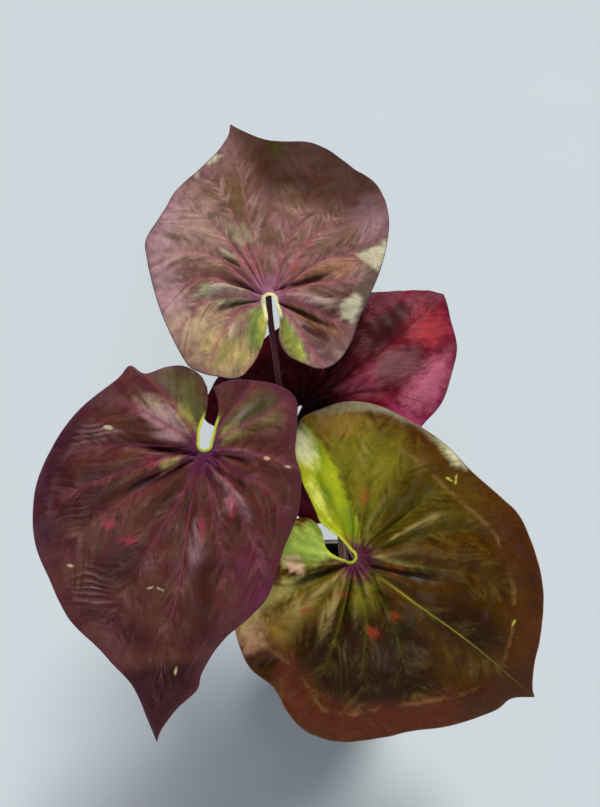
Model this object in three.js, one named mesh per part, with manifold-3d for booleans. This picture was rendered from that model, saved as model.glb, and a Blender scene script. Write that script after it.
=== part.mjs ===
// A potted caladium: four large heart-shaped leaf blades on long stalks, which rise from one tuber in a
// plain nursery pot. Millimetres, +Z up, with the origin in the middle of the pot's flat base.
import * as THREE from 'three';
import { mergeVertices } from 'three/addons/utils/BufferGeometryUtils.js';
import Module from 'manifold-3d';

const wasm = await Module();
wasm.setup();

// The clear gap between two pieces that touch.
const GAP = 0.4;

// Pot: a tapered cup of moulded plastic with a band round its rim and drain holes in its floor.
const POT_HEIGHT = 130;
const POT_BASE_RADIUS = 55;
const POT_TOP_RADIUS = 74;
const POT_WALL = 2;
const POT_FLOOR = 2.5;
const BAND_HEIGHT = 18;
const BAND_PROUD = 2.5;
const LIP_HEIGHT = 3;
const LIP_PROUD = 2;
const DRAIN_HOLES = 6;
const DRAIN_RADIUS = 5;
const DRAIN_RING = 38;
const DRAIN_SIDES = 16;
const FOOT_CHAMFER = 1.5;
const LIP_CHAMFER = 0.8;
const ROUND_STEPS = 40;

// Soil: fills the pot to below its rim, a little higher round the plant.
const SOIL_BELOW_RIM = 15;
const SOIL_MOUND = 2.5;
const SOIL_SHOULDER = 0.7;
const SOIL_TOP = POT_HEIGHT - SOIL_BELOW_RIM;

// Tuber: a squat knobbly ball with a flat crown just above the soil.
const TUBER_RADIUS = 30;
const TUBER_HALF_HEIGHT = 20;
const TUBER_KNOBS = 1.8;
const CROWN_ABOVE_SOIL = 4;
const CROWN_HEIGHT = SOIL_TOP + CROWN_ABOVE_SOIL;
const CROWN_CUT = 6;
const BOTTOM_CUT = 3;
const TUBER_CENTRE = CROWN_HEIGHT - TUBER_HALF_HEIGHT + CROWN_CUT;

// Stalks: round, tapering from a thick base on the crown to the pad under the blade.
const STALK_RING = 8.5;
const STALK_BASE_RADIUS = 4.4;
const STALK_TIP_RADIUS = 2.5;
const STALK_SHEATH = 0.8;
const STALK_RISE = 15;
const STALK_SIDES = 10;
const STALK_STEPS = 16;
const PAD_AHEAD = 7;

// Blades: thin waved sheets. A sinus, the deep notch at the back, ends in a small round at the stalk.
const BLADE_THICKNESS = 1;
const SINUS_ROUND = 4;
const SINUS_TURN = 100;
const VEINS_A_SIDE = 6;
const COLUMNS_A_VEIN = 4;
const RINGS = 10;
const PLEAT_HEIGHT = 3.2;
const PLEAT_PEAK = 34;
const MARGIN_WAVE = 2;
const MARGIN_WAVES = 3.5;
const ARCHED_VEINS = 0.06;
const EDGE_BLEND = 0.6;

// Each blade hangs at its sinus, whose round's centre is at `at`. Its own x runs to the tip, y to its left
// and z out of its upper face. heading, pitch and roll are in degrees. droop is how far the blade has
// curved down 100 mm out, towards the tip, the two lobes, the left and the right. The outline is given from
// the sinus, along its edge to the back of the lobe, and from there round the rim to the tip, as [x, y].
// stalk lists where the stalk's centre line runs between its base and the blade, in the plant's frame.
const LEAVES = {
  top: {
    at: [-62, 102, 443], heading: 102, pitch: 30, roll: -4, wavePhase: 0.6,
    droop: { tip: 5, lobes: 6, left: 9, right: 9 },
    tip: [184, 5],
    leftSinus: [[-16, 4], [-32, 10], [-47, 19], [-58, 30]],
    leftRim: [[-60, 38], [-54, 53], [-43, 71], [-36, 75], [-5, 85], [25, 91], [57, 94], [74, 93], [97, 77],
      [122, 61], [139, 38], [155, 19], [170, 9]],
    rightSinus: [[-17, -5], [-34, -2], [-45, -5], [-56, -15]],
    rightRim: [[-62, -26], [-60, -43], [-48, -56], [-25, -70], [11, -94], [41, -109], [68, -117], [93, -115],
      [121, -98], [143, -79], [153, -61], [157, -36], [163, -22], [177, -1]],
    baseAngle: 135,
    stalk: [[-15, 19, 190], [-34, 40, 275], [-50, 63, 338], [-58, 88, 395], [-62, 102, 424]],
  },
  left: {
    at: [-109, -3, 388], heading: -103, pitch: -42, roll: -24, wavePhase: 2.2,
    droop: { tip: 5, lobes: 15, left: 22, right: 5 },
    tip: [238, 7],
    leftSinus: [[-15, 5], [-26, 6], [-36, 3], [-43, -1]],
    leftRim: [[-50, 10], [-53, 23], [-54, 50], [-47, 67], [-27, 71], [-1, 74], [14, 82], [45, 86], [82, 78],
      [114, 72], [128, 63], [152, 43], [179, 31], [190, 30], [207, 16], [226, 8]],
    rightSinus: [[-10, -5], [-22, -3], [-33, -3], [-42, -5]],
    rightRim: [[-50, -11], [-55, -25], [-52, -37], [-44, -52], [-48, -63], [-38, -69], [-10, -92], [20, -106],
      [51, -112], [86, -106], [114, -92], [143, -73], [165, -46], [187, -22], [216, -5]],
    baseAngle: 225,
    stalk: [[-13, -7, 190], [-40, -2, 265], [-76, 2, 327], [-99, 4, 361]],
  },
  low: {
    at: [3, -42, 294], heading: -29, pitch: -16, roll: 38, wavePhase: 1.3,
    droop: { tip: 12, lobes: 8, left: 9, right: 9 },
    tip: [195, -21],
    leftSinus: [[-14, 8], [-35, 11], [-44, 17], [-64, 30], [-84, 47], [-92, 61]],
    leftRim: [[-95, 73], [-86, 88], [-69, 107], [-46, 118], [-10, 121], [20, 119], [48, 112], [83, 106],
      [100, 102], [128, 82], [153, 57], [167, 31], [178, 1], [189, -16]],
    rightSinus: [[-10, -6], [-19, -5], [-31, 5], [-41, 8], [-49, 5], [-57, -4]],
    rightRim: [[-64, -23], [-67, -47], [-63, -72], [-52, -99], [-39, -115], [-19, -128], [5, -129],
      [25, -139], [49, -145], [77, -136], [100, -118], [121, -95], [150, -71], [172, -47], [178, -32]],
    baseAngle: 315,
    stalk: [[6, 2, 180], [0, 14, 245], [-4, 7, 277], [-2, -14, 289]],
  },
  back: {
    at: [-37, 80, 343], heading: 38, pitch: 19, roll: 18, wavePhase: 3.1,
    droop: { tip: 4, lobes: 6, left: 10, right: 8 },
    tip: [181, -5],
    leftSinus: [[-14, 3], [-32, 7], [-54, 22], [-68, 40]],
    leftRim: [[-71, 51], [-65, 62], [-50, 69], [-25, 78], [18, 76], [54, 73], [77, 71], [101, 64], [132, 42],
      [157, 24], [173, 9]],
    rightSinus: [[-12, -7], [-25, -19], [-47, -35], [-62, -55]],
    rightRim: [[-66, -70], [-58, -86], [-35, -97], [-5, -100], [24, -97], [49, -92], [69, -85], [99, -81],
      [125, -68], [151, -51], [168, -26]],
    baseAngle: 45,
    stalk: [[8, 18, 185], [-6, 43, 250], [-22, 68, 300], [-30, 81, 327]],
  },
};

function toSolid(geometry) {
  const bare = geometry.clone();
  bare.deleteAttribute('normal');
  bare.deleteAttribute('uv');
  const merged = mergeVertices(bare, 1e-4);
  return new wasm.Manifold(new wasm.Mesh({
    numProp: 3,
    vertProperties: new Float32Array(merged.attributes.position.array),
    triVerts: new Uint32Array(merged.index.array),
  }));
}

function toGeometry(solid) {
  const mesh = solid.getMesh();
  const geometry = new THREE.BufferGeometry();
  geometry.setAttribute('position', new THREE.BufferAttribute(new Float32Array(mesh.vertProperties), 3));
  geometry.setIndex(new THREE.BufferAttribute(new Uint32Array(mesh.triVerts), 1));
  geometry.computeVertexNormals();
  return geometry;
}

function indexedGeometry(positions, index) {
  const geometry = new THREE.BufferGeometry();
  geometry.setAttribute('position', new THREE.Float32BufferAttribute(positions, 3));
  geometry.setIndex(index);
  geometry.computeVertexNormals();
  return geometry;
}

function addPiece(parent, name, geometry, color, roughness) {
  const material = new THREE.MeshStandardMaterial({ color, roughness, metalness: 0 });
  const mesh = new THREE.Mesh(geometry, material);
  mesh.name = name;
  parent.add(mesh);
  return mesh;
}

// A profile of [radius, height] pairs that starts and ends on the axis, turned about Z.
function turned(profile) {
  const points = profile.map(([radius, height]) => new THREE.Vector2(radius, height));
  return new THREE.LatheGeometry(points, ROUND_STEPS).rotateX(Math.PI / 2);
}

function potRadiusAt(height) {
  return POT_BASE_RADIUS + (POT_TOP_RADIUS - POT_BASE_RADIUS) * height / POT_HEIGHT;
}

function potGeometry() {
  const bandFoot = POT_HEIGHT - BAND_HEIGHT;
  const bandTop = POT_HEIGHT - LIP_HEIGHT;
  const lipRadius = potRadiusAt(bandTop) + BAND_PROUD + LIP_PROUD;
  const cup = toSolid(turned([
    [0, 0], [POT_BASE_RADIUS - FOOT_CHAMFER, 0], [potRadiusAt(FOOT_CHAMFER), FOOT_CHAMFER],
    [potRadiusAt(bandFoot), bandFoot],
    [potRadiusAt(bandFoot) + BAND_PROUD, bandFoot + LIP_CHAMFER],
    [potRadiusAt(bandTop) + BAND_PROUD, bandTop],
    [lipRadius, bandTop], [lipRadius, POT_HEIGHT - LIP_CHAMFER], [lipRadius - LIP_CHAMFER, POT_HEIGHT],
    [POT_TOP_RADIUS - POT_WALL, POT_HEIGHT],
    [potRadiusAt(POT_FLOOR) - POT_WALL, POT_FLOOR],
    [0, POT_FLOOR],
  ]));
  let pot = cup;
  for (let i = 0; i < DRAIN_HOLES; i++) {
    const angle = 2 * Math.PI * i / DRAIN_HOLES;
    const hole = new THREE.CylinderGeometry(DRAIN_RADIUS, DRAIN_RADIUS, 4 * POT_FLOOR, DRAIN_SIDES)
      .rotateX(Math.PI / 2)
      .translate(DRAIN_RING * Math.cos(angle), DRAIN_RING * Math.sin(angle), 0);
    pot = pot.subtract(toSolid(hole));
  }
  return toGeometry(pot);
}

// A ball pressed flat at the crown and at the bottom, with low knobs. grow widens it by that much all over.
function tuberGeometry(grow) {
  const ball = new THREE.SphereGeometry(1, 22, 14).rotateX(Math.PI / 2);
  const merged = mergeVertices(ball.deleteAttribute('normal').deleteAttribute('uv'), 1e-4);
  const at = merged.attributes.position;
  const bottom = TUBER_HALF_HEIGHT - BOTTOM_CUT;
  const crown = TUBER_HALF_HEIGHT - CROWN_CUT;
  for (let i = 0; i < at.count; i++) {
    const angle = Math.atan2(at.getY(i), at.getX(i));
    const level = at.getZ(i);
    const across = Math.hypot(at.getX(i), at.getY(i));
    const knob = TUBER_KNOBS * across * (Math.sin(5 * angle + 4 * level) + Math.sin(3 * angle - 6 * level));
    const radius = across * (TUBER_RADIUS + grow) + knob;
    const height = THREE.MathUtils.clamp(level * (TUBER_HALF_HEIGHT + grow), -bottom - grow, crown + grow);
    at.setXYZ(i, radius * Math.cos(angle), radius * Math.sin(angle), height);
  }
  return merged.translate(0, 0, TUBER_CENTRE);
}

function soilGeometry() {
  const floor = POT_FLOOR + GAP;
  const wallAt = (height) => potRadiusAt(height) - POT_WALL - GAP;
  const fill = toSolid(turned([
    [0, floor], [wallAt(floor), floor], [wallAt(SOIL_TOP), SOIL_TOP],
    [SOIL_SHOULDER * wallAt(SOIL_TOP), SOIL_TOP + SOIL_SHOULDER * SOIL_MOUND], [0, SOIL_TOP + SOIL_MOUND],
  ]));
  return toGeometry(fill.subtract(toSolid(tuberGeometry(GAP))));
}

// Where a leaf lies in the plant's frame.
function leafMatrix(leaf) {
  const { degToRad } = THREE.MathUtils;
  const turn = new THREE.Euler(degToRad(leaf.roll), -degToRad(leaf.pitch), degToRad(leaf.heading), 'ZYX');
  return new THREE.Matrix4().makeRotationFromEuler(turn).setPosition(...leaf.at);
}

function smoothLine(points) {
  return new THREE.CatmullRomCurve3(points.map(([x, y]) => new THREE.Vector3(x, y, 0)), false, 'centripetal');
}

// The sinus edge and the rim of one half of a blade: side is 1 for the left and -1 for the right.
function halfOutline(leaf, side) {
  const turn = THREE.MathUtils.degToRad(SINUS_TURN);
  const start = [SINUS_ROUND * Math.cos(turn), side * SINUS_ROUND * Math.sin(turn)];
  const sinus = side > 0 ? leaf.leftSinus : leaf.rightSinus;
  const rim = side > 0 ? leaf.leftRim : leaf.rightRim;
  return {
    sinus: smoothLine([start, ...sinus]),
    rim: smoothLine([sinus[sinus.length - 1], ...rim, leaf.tip]),
  };
}

// The flat place of column u, from -1 at the right sinus edge over 0 at the midrib to 1 at the left one,
// and ring v, from 0 at the sinus's round to 1 at the rim.
function flatPoint(outlines, u, v) {
  const side = u < 0 ? -1 : 1;
  const spread = Math.abs(u);
  const { sinus, rim } = outlines[side];
  const turn = THREE.MathUtils.degToRad(SINUS_TURN) * u;
  const start = new THREE.Vector3(SINUS_ROUND * Math.cos(turn), SINUS_ROUND * Math.sin(turn), 0);
  const end = rim.getPointAt(1 - spread);
  const point = start.clone().lerp(end, v);
  const nearEdge = Math.max(0, (spread - EDGE_BLEND) / (1 - EDGE_BLEND)) ** 2;
  const edgeBend = sinus.getPointAt(v).sub(sinus.getPoint(0).lerp(sinus.getPoint(1), v));
  point.addScaledVector(edgeBend, nearEdge);
  point.x -= ARCHED_VEINS * start.distanceTo(end) * Math.sin(Math.PI * v) * Math.sin(Math.PI * spread);
  return point;
}

// How high the blade stands over its own plane there.
function bladeHeight(leaf, point, u, v) {
  const { tip, lobes, left, right } = leaf.droop;
  const along = (point.x > 0 ? tip : lobes) * (point.x / 100) ** 2;
  const across = (point.y > 0 ? left : right) * (point.y / 100) ** 2;
  const reach = Math.hypot(point.x, point.y) / PLEAT_PEAK;
  const pleatSize = PLEAT_HEIGHT * reach ** 2 * Math.exp(2 - 2 * reach);
  const pleat = pleatSize * Math.sin(Math.PI * VEINS_A_SIDE * u) ** 2;
  const wave = MARGIN_WAVE * v ** 4 * Math.sin(2 * Math.PI * MARGIN_WAVES * u + leaf.wavePhase);
  return pleat + wave - along - across;
}

// The blade's two faces carry the same grid and the same diagonals, so they never cross.
function bladeGeometry(leaf) {
  const outlines = { 1: halfOutline(leaf, 1), '-1': halfOutline(leaf, -1) };
  const columns = 2 * VEINS_A_SIDE * COLUMNS_A_VEIN;
  const perColumn = RINGS + 1;
  const perFace = (columns + 1) * perColumn;
  const positions = [];
  for (const face of [0.5, -0.5]) {
    for (let i = 0; i <= columns; i++) {
      for (let j = 0; j <= RINGS; j++) {
        const u = 2 * i / columns - 1;
        const v = (j / RINGS) ** 1.2;
        const point = flatPoint(outlines, u, v);
        positions.push(point.x, point.y, bladeHeight(leaf, point, u, v) + face * BLADE_THICKNESS);
      }
    }
  }
  const index = [];
  for (let i = 0; i < columns; i++) {
    for (let j = 0; j < RINGS; j++) {
      const a = i * perColumn + j;
      const b = a + 1;
      const c = a + perColumn;
      const d = c + 1;
      index.push(a, b, d, a, d, c);
      index.push(perFace + a, perFace + d, perFace + b, perFace + a, perFace + c, perFace + d);
    }
  }
  const round = [...Array(columns + 1).keys()];
  const out = [...Array(RINGS + 1).keys()];
  const edge = [
    ...round.map((i) => i * perColumn),
    ...out.map((j) => columns * perColumn + j),
    ...round.reverse().map((i) => i * perColumn + RINGS),
    ...out.reverse().map((j) => j),
  ].filter((vertex, i, all) => vertex !== all[(i + 1) % all.length]);
  edge.forEach((a, i) => {
    const b = edge[(i + 1) % edge.length];
    index.push(a, b, perFace + b, a, perFace + b, perFace + a);
  });
  return indexedGeometry(positions, index);
}

// A stalk runs from the crown to the pad under its blade. Both ends are cut flat, the lower one level and
// the upper one in line with the blade.
function stalkGeometry(leaf) {
  const matrix = leafMatrix(leaf);
  const outward = new THREE.Vector3(0, 0, 1).transformDirection(matrix);
  const padDepth = -BLADE_THICKNESS / 2 - GAP;
  const pad = new THREE.Vector3(PAD_AHEAD, 0, padDepth).applyMatrix4(matrix);
  const baseAngle = THREE.MathUtils.degToRad(leaf.baseAngle);
  const base = new THREE.Vector3(
    STALK_RING * Math.cos(baseAngle), STALK_RING * Math.sin(baseAngle), CROWN_HEIGHT + GAP);
  const rise = base.clone().add(new THREE.Vector3(0, 0, STALK_RISE));
  const middle = leaf.stalk.map((point) => new THREE.Vector3(...point));
  const line = new THREE.CatmullRomCurve3([base, rise, ...middle, pad], false, 'centripetal');

  const positions = [];
  const up = new THREE.Vector3(0, 0, 1);
  let side = new THREE.Vector3(1, 0, 0);
  for (let i = 0; i <= STALK_STEPS; i++) {
    const t = i / STALK_STEPS;
    const centre = line.getPointAt(t);
    const along = line.getTangentAt(t);
    side = side.clone().addScaledVector(along, -side.dot(along)).normalize();
    const across = new THREE.Vector3().crossVectors(along, side);
    const radius = THREE.MathUtils.lerp(STALK_BASE_RADIUS, STALK_TIP_RADIUS, t ** 0.8)
      + STALK_SHEATH * Math.exp(-t / 0.06);
    for (let k = 0; k < STALK_SIDES; k++) {
      const angle = 2 * Math.PI * k / STALK_SIDES;
      const point = centre.clone()
        .addScaledVector(side, radius * Math.cos(angle))
        .addScaledVector(across, radius * Math.sin(angle));
      const cut = i === 0 ? up : outward;
      if (i === 0 || i === STALK_STEPS) {
        point.addScaledVector(along, centre.clone().sub(point).dot(cut) / along.dot(cut));
      }
      positions.push(point.x, point.y, point.z);
    }
  }
  const index = [];
  for (let i = 0; i < STALK_STEPS; i++) {
    for (let k = 0; k < STALK_SIDES; k++) {
      const a = i * STALK_SIDES + k;
      const b = i * STALK_SIDES + (k + 1) % STALK_SIDES;
      index.push(a, b, b + STALK_SIDES, a, b + STALK_SIDES, a + STALK_SIDES);
    }
  }
  const last = STALK_STEPS * STALK_SIDES;
  for (let k = 1; k < STALK_SIDES - 1; k++) {
    index.push(0, k + 1, k);
    index.push(last, last + k, last + k + 1);
  }
  return indexedGeometry(positions, index);
}

const group = new THREE.Group();
addPiece(group, 'pot', potGeometry(), 0x1f1f20, 0.55);
addPiece(group, 'soil', soilGeometry(), 0x35261b, 1);
addPiece(group, 'tuber', tuberGeometry(0), 0x6b4a33, 0.9);

const BLADE_COLOURS = { top: 0x6f4a4c, left: 0x5a2a38, low: 0x77754a, back: 0x7c2f3c };
const STALK_COLOURS = { top: 0x3a1420, left: 0x5b3a2e, low: 0x8a6a58, back: 0x4a2026 };
for (const [name, leaf] of Object.entries(LEAVES)) {
  addPiece(group, `petiole_${name}`, stalkGeometry(leaf), STALK_COLOURS[name], 0.5);
  const blade = addPiece(group, `blade_${name}`, bladeGeometry(leaf), BLADE_COLOURS[name], 0.35);
  blade.applyMatrix4(leafMatrix(leaf));
}

export default group;
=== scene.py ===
import math

import bmesh
import bpy
import numpy as np
from mathutils import Euler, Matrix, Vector


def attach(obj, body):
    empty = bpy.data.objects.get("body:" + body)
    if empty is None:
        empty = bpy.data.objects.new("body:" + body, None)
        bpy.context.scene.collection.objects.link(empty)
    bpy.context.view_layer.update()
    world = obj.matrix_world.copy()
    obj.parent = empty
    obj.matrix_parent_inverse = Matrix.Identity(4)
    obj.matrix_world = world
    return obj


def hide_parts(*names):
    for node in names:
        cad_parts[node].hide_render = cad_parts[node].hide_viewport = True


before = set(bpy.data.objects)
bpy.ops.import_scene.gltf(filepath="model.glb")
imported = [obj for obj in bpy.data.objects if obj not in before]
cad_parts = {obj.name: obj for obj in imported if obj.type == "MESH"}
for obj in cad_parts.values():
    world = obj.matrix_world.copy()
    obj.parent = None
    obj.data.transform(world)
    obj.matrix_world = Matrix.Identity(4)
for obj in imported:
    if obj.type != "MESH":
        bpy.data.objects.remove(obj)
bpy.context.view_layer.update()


# Nursery pot: a thin tapered cup with a band and a lip that stiffen its rim and drain holes in its floor.
# It is black polypropylene, injection moulded in one piece, and carries the soil and the plant.
MM = 0.001
POT_HEIGHT = 130
POT_BASE_RADIUS = 55
POT_TOP_RADIUS = 74
POT_WALL = 2
POT_FLOOR = 2.5
POT_BAND_FOOT = 112
POT_BAND_SLOPE = 0.8
POT_BAND_PROUD = 2.5
POT_LIP_FOOT = 127
POT_LIP_PROUD = 2
POT_SIDES = 144
POT_SHARP_EDGE = 35
DRAIN_HOLES = 6
DRAIN_RADIUS = 5
DRAIN_RING = 38
DRAIN_SIDES = 32
SPLASH_HEIGHT = 50


def linear(colour):
    """An sRGB hex colour as the linear RGBA that a shader wants."""
    channels = [int(colour[i:i + 2], 16) / 255 for i in (1, 3, 5)]
    return [*(c / 12.92 if c <= 0.04045 else ((c + 0.055) / 1.055) ** 2.4 for c in channels), 1]


def link(owner, source, socket):
    """Joins a socket, or the first output in use of a node, to an input."""
    if isinstance(source, bpy.types.Node):
        source = next(s for s in source.outputs if s.enabled)
    owner.node_tree.links.new(source, socket)


def add_node(owner, kind, settings, links=None):
    """A shader node with its settings, and with links from other nodes or their sockets to its inputs. A
    socket's text is an sRGB hex colour, and stops are a colour ramp's shares and colours in rising order."""
    node = owner.node_tree.nodes.new("ShaderNode" + kind)

    def socket(name):
        if isinstance(name, int):
            return node.inputs[name]
        return next(s for s in node.inputs if s.name == name and s.enabled)

    for name, value in settings.items():
        if name == "stops":
            for _ in value[2:]:
                node.color_ramp.elements.new(0.5)
            for stop, (share, shade) in zip(node.color_ramp.elements, value):
                stop.position, stop.color = share, linear(shade)
        elif isinstance(name, str) and hasattr(node, name):
            setattr(node, name, value)
        else:
            socket(name).default_value = linear(value) if isinstance(value, str) else value
    for name, source in (links or {}).items():
        link(owner, source, socket(name))
    return node


def new_material(name, finish):
    """A material with a Principled shader, whose uniform values are set on its own sockets."""
    material = bpy.data.materials.new(name)
    material.use_nodes = True
    for socket, value in finish.items():
        material.node_tree.nodes["Principled BSDF"].inputs[socket].default_value = value
    return material


def wire(material, sources):
    """Links nodes or their sockets to the material's Principled shader."""
    for socket, source in sources.items():
        link(material, source, material.node_tree.nodes["Principled BSDF"].inputs[socket])


def new_piece(name, vertices, faces, materials, faces_of_second=()):
    """A smooth-shaded mesh object, from vertices in millimetres. Some faces may take the second material."""
    mesh = bpy.data.meshes.new(name)
    mesh.from_pydata(np.asarray(vertices) * MM, [], faces)
    mesh.shade_smooth()
    for material in materials:
        mesh.materials.append(material)
    for i in faces_of_second:
        mesh.polygons[i].material_index = 1
    piece = bpy.data.objects.new(name, mesh)
    bpy.context.scene.collection.objects.link(piece)
    return piece


def ring_faces(rings, sides, poles=True):
    """Faces between rings of points that follow each other, and from the end rings to two last points."""
    faces = []
    for i in range(rings - 1):
        for k in range(sides):
            a, b = i * sides + k, i * sides + (k + 1) % sides
            faces.append((a, b, b + sides, a + sides))
    if poles:
        last = (rings - 1) * sides
        for k in range(sides):
            faces.append((rings * sides, (k + 1) % sides, k))
            faces.append((rings * sides + 1, last + k, last + (k + 1) % sides))
    return faces


def rounded_profile(corners, steps=5):
    """A profile of (radius, height, rounding) corners, with a small round in place of each that has one."""
    places = [np.array(corner[:2], float) for corner in corners]
    shares = np.linspace(0, 1, steps)[:, None]
    points = []
    for i, (*_, size) in enumerate(corners):
        if not size:
            points.append(tuple(places[i]))
            continue
        before, corner, after = places[i - 1:i + 2]
        start = corner + (before - corner) / np.linalg.norm(before - corner) * size
        end = corner + (after - corner) / np.linalg.norm(after - corner) * size
        curve = (1 - shares) ** 2 * start + 2 * shares * (1 - shares) * corner + shares ** 2 * end
        points += [tuple(point) for point in curve]
    return points


def pot_radius(height):
    return POT_BASE_RADIUS + (POT_TOP_RADIUS - POT_BASE_RADIUS) * height / POT_HEIGHT


# Polypropylene with carbon black: its spark-eroded texture, drawn coarse at 0.9 mm so that it shows, and dust
# in clouds of 7 mm give a soft grey satin, with dried splashes of soil near the foot.
pot_plastic = new_material("black_polypropylene", {"IOR": 1.49})
place = add_node(pot_plastic, "TexCoord", {}).outputs["Object"]
dust = add_node(pot_plastic, "TexNoise", {"Scale": 1 / (7 * MM), "Detail": 7.0, "Roughness": 0.7},
                {"Vector": place})
height = add_node(pot_plastic, "SeparateXYZ", {}, {0: place}).outputs["Z"]
low_down = add_node(pot_plastic, "MapRange", {"From Min": 0.0, "From Max": SPLASH_HEIGHT * MM, "To Min": 0.2,
                    "To Max": 0.0}, {"Value": height})
dusty = add_node(pot_plastic, "Math", {"operation": "ADD"}, {0: dust, 1: low_down})
dusted = add_node(pot_plastic, "MapRange", {"interpolation_type": "SMOOTHSTEP", "From Min": 0.5,
                  "From Max": 0.86, "To Max": 0.7}, {"Value": dusty})
colour = add_node(pot_plastic, "Mix", {"data_type": "RGBA", "A": "#1d1e20", "B": "#5a5148"},
                  {"Factor": dusted})
gloss = add_node(pot_plastic, "MapRange", {"To Min": 0.38, "To Max": 0.7}, {"Value": dusted})
texture = add_node(pot_plastic, "TexNoise", {"Scale": 1 / (0.9 * MM), "Detail": 2.0}, {"Vector": place})
grain = add_node(pot_plastic, "Bump", {"Strength": 0.18, "Distance": 0.2 * MM}, {"Height": texture})
wire(pot_plastic, {"Base Color": colour, "Roughness": gloss, "Normal": grain})

band_top = pot_radius(POT_LIP_FOOT) + POT_BAND_PROUD
lip = band_top + POT_LIP_PROUD
profile = rounded_profile([
    (0, 0, 0), (POT_BASE_RADIUS, 0, 1.8), (pot_radius(POT_BAND_FOOT), POT_BAND_FOOT, 0.5),
    (pot_radius(POT_BAND_FOOT) + POT_BAND_PROUD, POT_BAND_FOOT + POT_BAND_SLOPE, 0.7),
    (band_top, POT_LIP_FOOT, 0.5), (lip, POT_LIP_FOOT, 0.7), (lip, POT_HEIGHT, 1.1),
    (POT_TOP_RADIUS - POT_WALL, POT_HEIGHT, 0.8), (pot_radius(POT_FLOOR) - POT_WALL, POT_FLOOR, 1.5),
    (0, POT_FLOOR, 0),
])
turns = [2 * math.pi * k / POT_SIDES for k in range(POT_SIDES)]
vertices = [(r * math.cos(a), r * math.sin(a), h) for r, h in profile[1:-1] for a in turns]
vertices += [(0, 0, 0), (0, 0, POT_FLOOR)]
pot = new_piece("nursery_pot", vertices, ring_faces(len(profile) - 2, POT_SIDES), [pot_plastic])
holes = bmesh.new()
for i in range(DRAIN_HOLES):
    turn = 2 * math.pi * i / DRAIN_HOLES
    made = bmesh.ops.create_cone(holes, cap_ends=True, segments=DRAIN_SIDES, radius1=DRAIN_RADIUS * MM,
                                 radius2=DRAIN_RADIUS * MM, depth=4 * POT_FLOOR * MM)
    bmesh.ops.translate(holes, verts=made["verts"],
                        vec=(DRAIN_RING * math.cos(turn) * MM, DRAIN_RING * math.sin(turn) * MM, 0))
drill = bpy.data.objects.new("drill", bpy.data.meshes.new("drill"))
holes.to_mesh(drill.data)
holes.free()
bpy.context.scene.collection.objects.link(drill)
cut = pot.modifiers.new("drain_holes", "BOOLEAN")
cut.operation, cut.solver, cut.object = "DIFFERENCE", "EXACT", drill
bpy.context.view_layer.update()
drained = bpy.data.meshes.new_from_object(pot.evaluated_get(bpy.context.evaluated_depsgraph_get()))
pot.modifiers.clear()
pot.data = drained
bpy.data.objects.remove(drill)
pot.data.set_sharp_from_angle(angle=math.radians(POT_SHARP_EDGE))
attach(pot, "root")
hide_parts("pot")


# Soil: a moist mix of peat, coir and fine bark that fills the pot to 15 mm below its rim, a little
# higher round the plant. Watering has left crumbs, bark chips and white perlite on its surface.
SOIL_TOP = 115
SOIL_MOUND = 2.5
SOIL_SHOULDER = 0.7
SOIL_SETTLED = 0.9
SOIL_EDGE_DROP = 2.5
SOIL_FIT = 0.4
SOIL_SIDES = 160
SOIL_RINGS = 60
CLOD_WAVES = 46
CLOD_HEIGHT = 0.35
CHIPS = 620
PERLITE_BITS = 90

soil_radius = pot_radius(SOIL_TOP) - POT_WALL - SOIL_FIT
random = np.random.default_rng(7)
waves = [(random.uniform(0.05, 1.1), random.uniform(0, 2 * math.pi), random.uniform(0, 2 * math.pi))
         for _ in range(CLOD_WAVES)]


def soil_level(x, y):
    """The height of the soil's top there: a low mound with clods a few millimetres across."""
    across = np.hypot(x, y) / soil_radius
    mound = SOIL_MOUND * np.interp(across, [0, SOIL_SHOULDER, 1], [1, SOIL_SHOULDER, 0])
    clods = sum(np.sin(w * (x * math.cos(a) + y * math.sin(a)) + b) / (1 + 4 * w) for w, a, b in waves)
    return SOIL_TOP - SOIL_SETTLED + mound + CLOD_HEIGHT * clods


# Moist peat and coir: dark brown in clumps of 7 mm, nearly black where wet, paler and matt where dry, and
# rough with crumbs of 1.6 mm.
peat = new_material("peat_and_coir", {"Specular IOR Level": 0.25})
place = add_node(peat, "TexCoord", {}).outputs["Object"]
clump = add_node(peat, "TexNoise", {"Scale": 1 / (7 * MM), "Detail": 8.0, "Roughness": 0.7},
                 {"Vector": place})
tone = add_node(peat, "ValToRGB", {"stops": ((0.3, "#1c120c"), (0.55, "#35241a"), (0.78, "#6b5040"))},
                {"Fac": clump})
crumbs = add_node(peat, "TexNoise", {"Scale": 1 / (1.6 * MM), "Detail": 5.0, "Roughness": 0.7},
                  {"Vector": place})
rough_soil = add_node(peat, "Bump", {"Strength": 0.9, "Distance": 0.9 * MM}, {"Height": crumbs})
wet = add_node(peat, "MapRange", {"From Min": 0.35, "From Max": 0.7, "To Min": 0.62, "To Max": 0.95},
               {"Value": clump})
wire(peat, {"Base Color": tone, "Roughness": wet, "Normal": rough_soil})

# Expanded perlite: chalk white grains with pores, drawn coarse at 0.8 mm, and a little stained by the peat.
perlite = new_material("expanded_perlite", {"Specular IOR Level": 0.2, "Roughness": 0.9})
place = add_node(perlite, "TexCoord", {}).outputs["Object"]
pores = add_node(perlite, "TexNoise", {"Scale": 1 / (0.8 * MM), "Detail": 4.0}, {"Vector": place})
white = add_node(perlite, "Mix", {"data_type": "RGBA", "A": "#b9ae9f", "B": "#ece8df"}, {"Factor": pores})
wire(perlite, {"Base Color": white})

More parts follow.
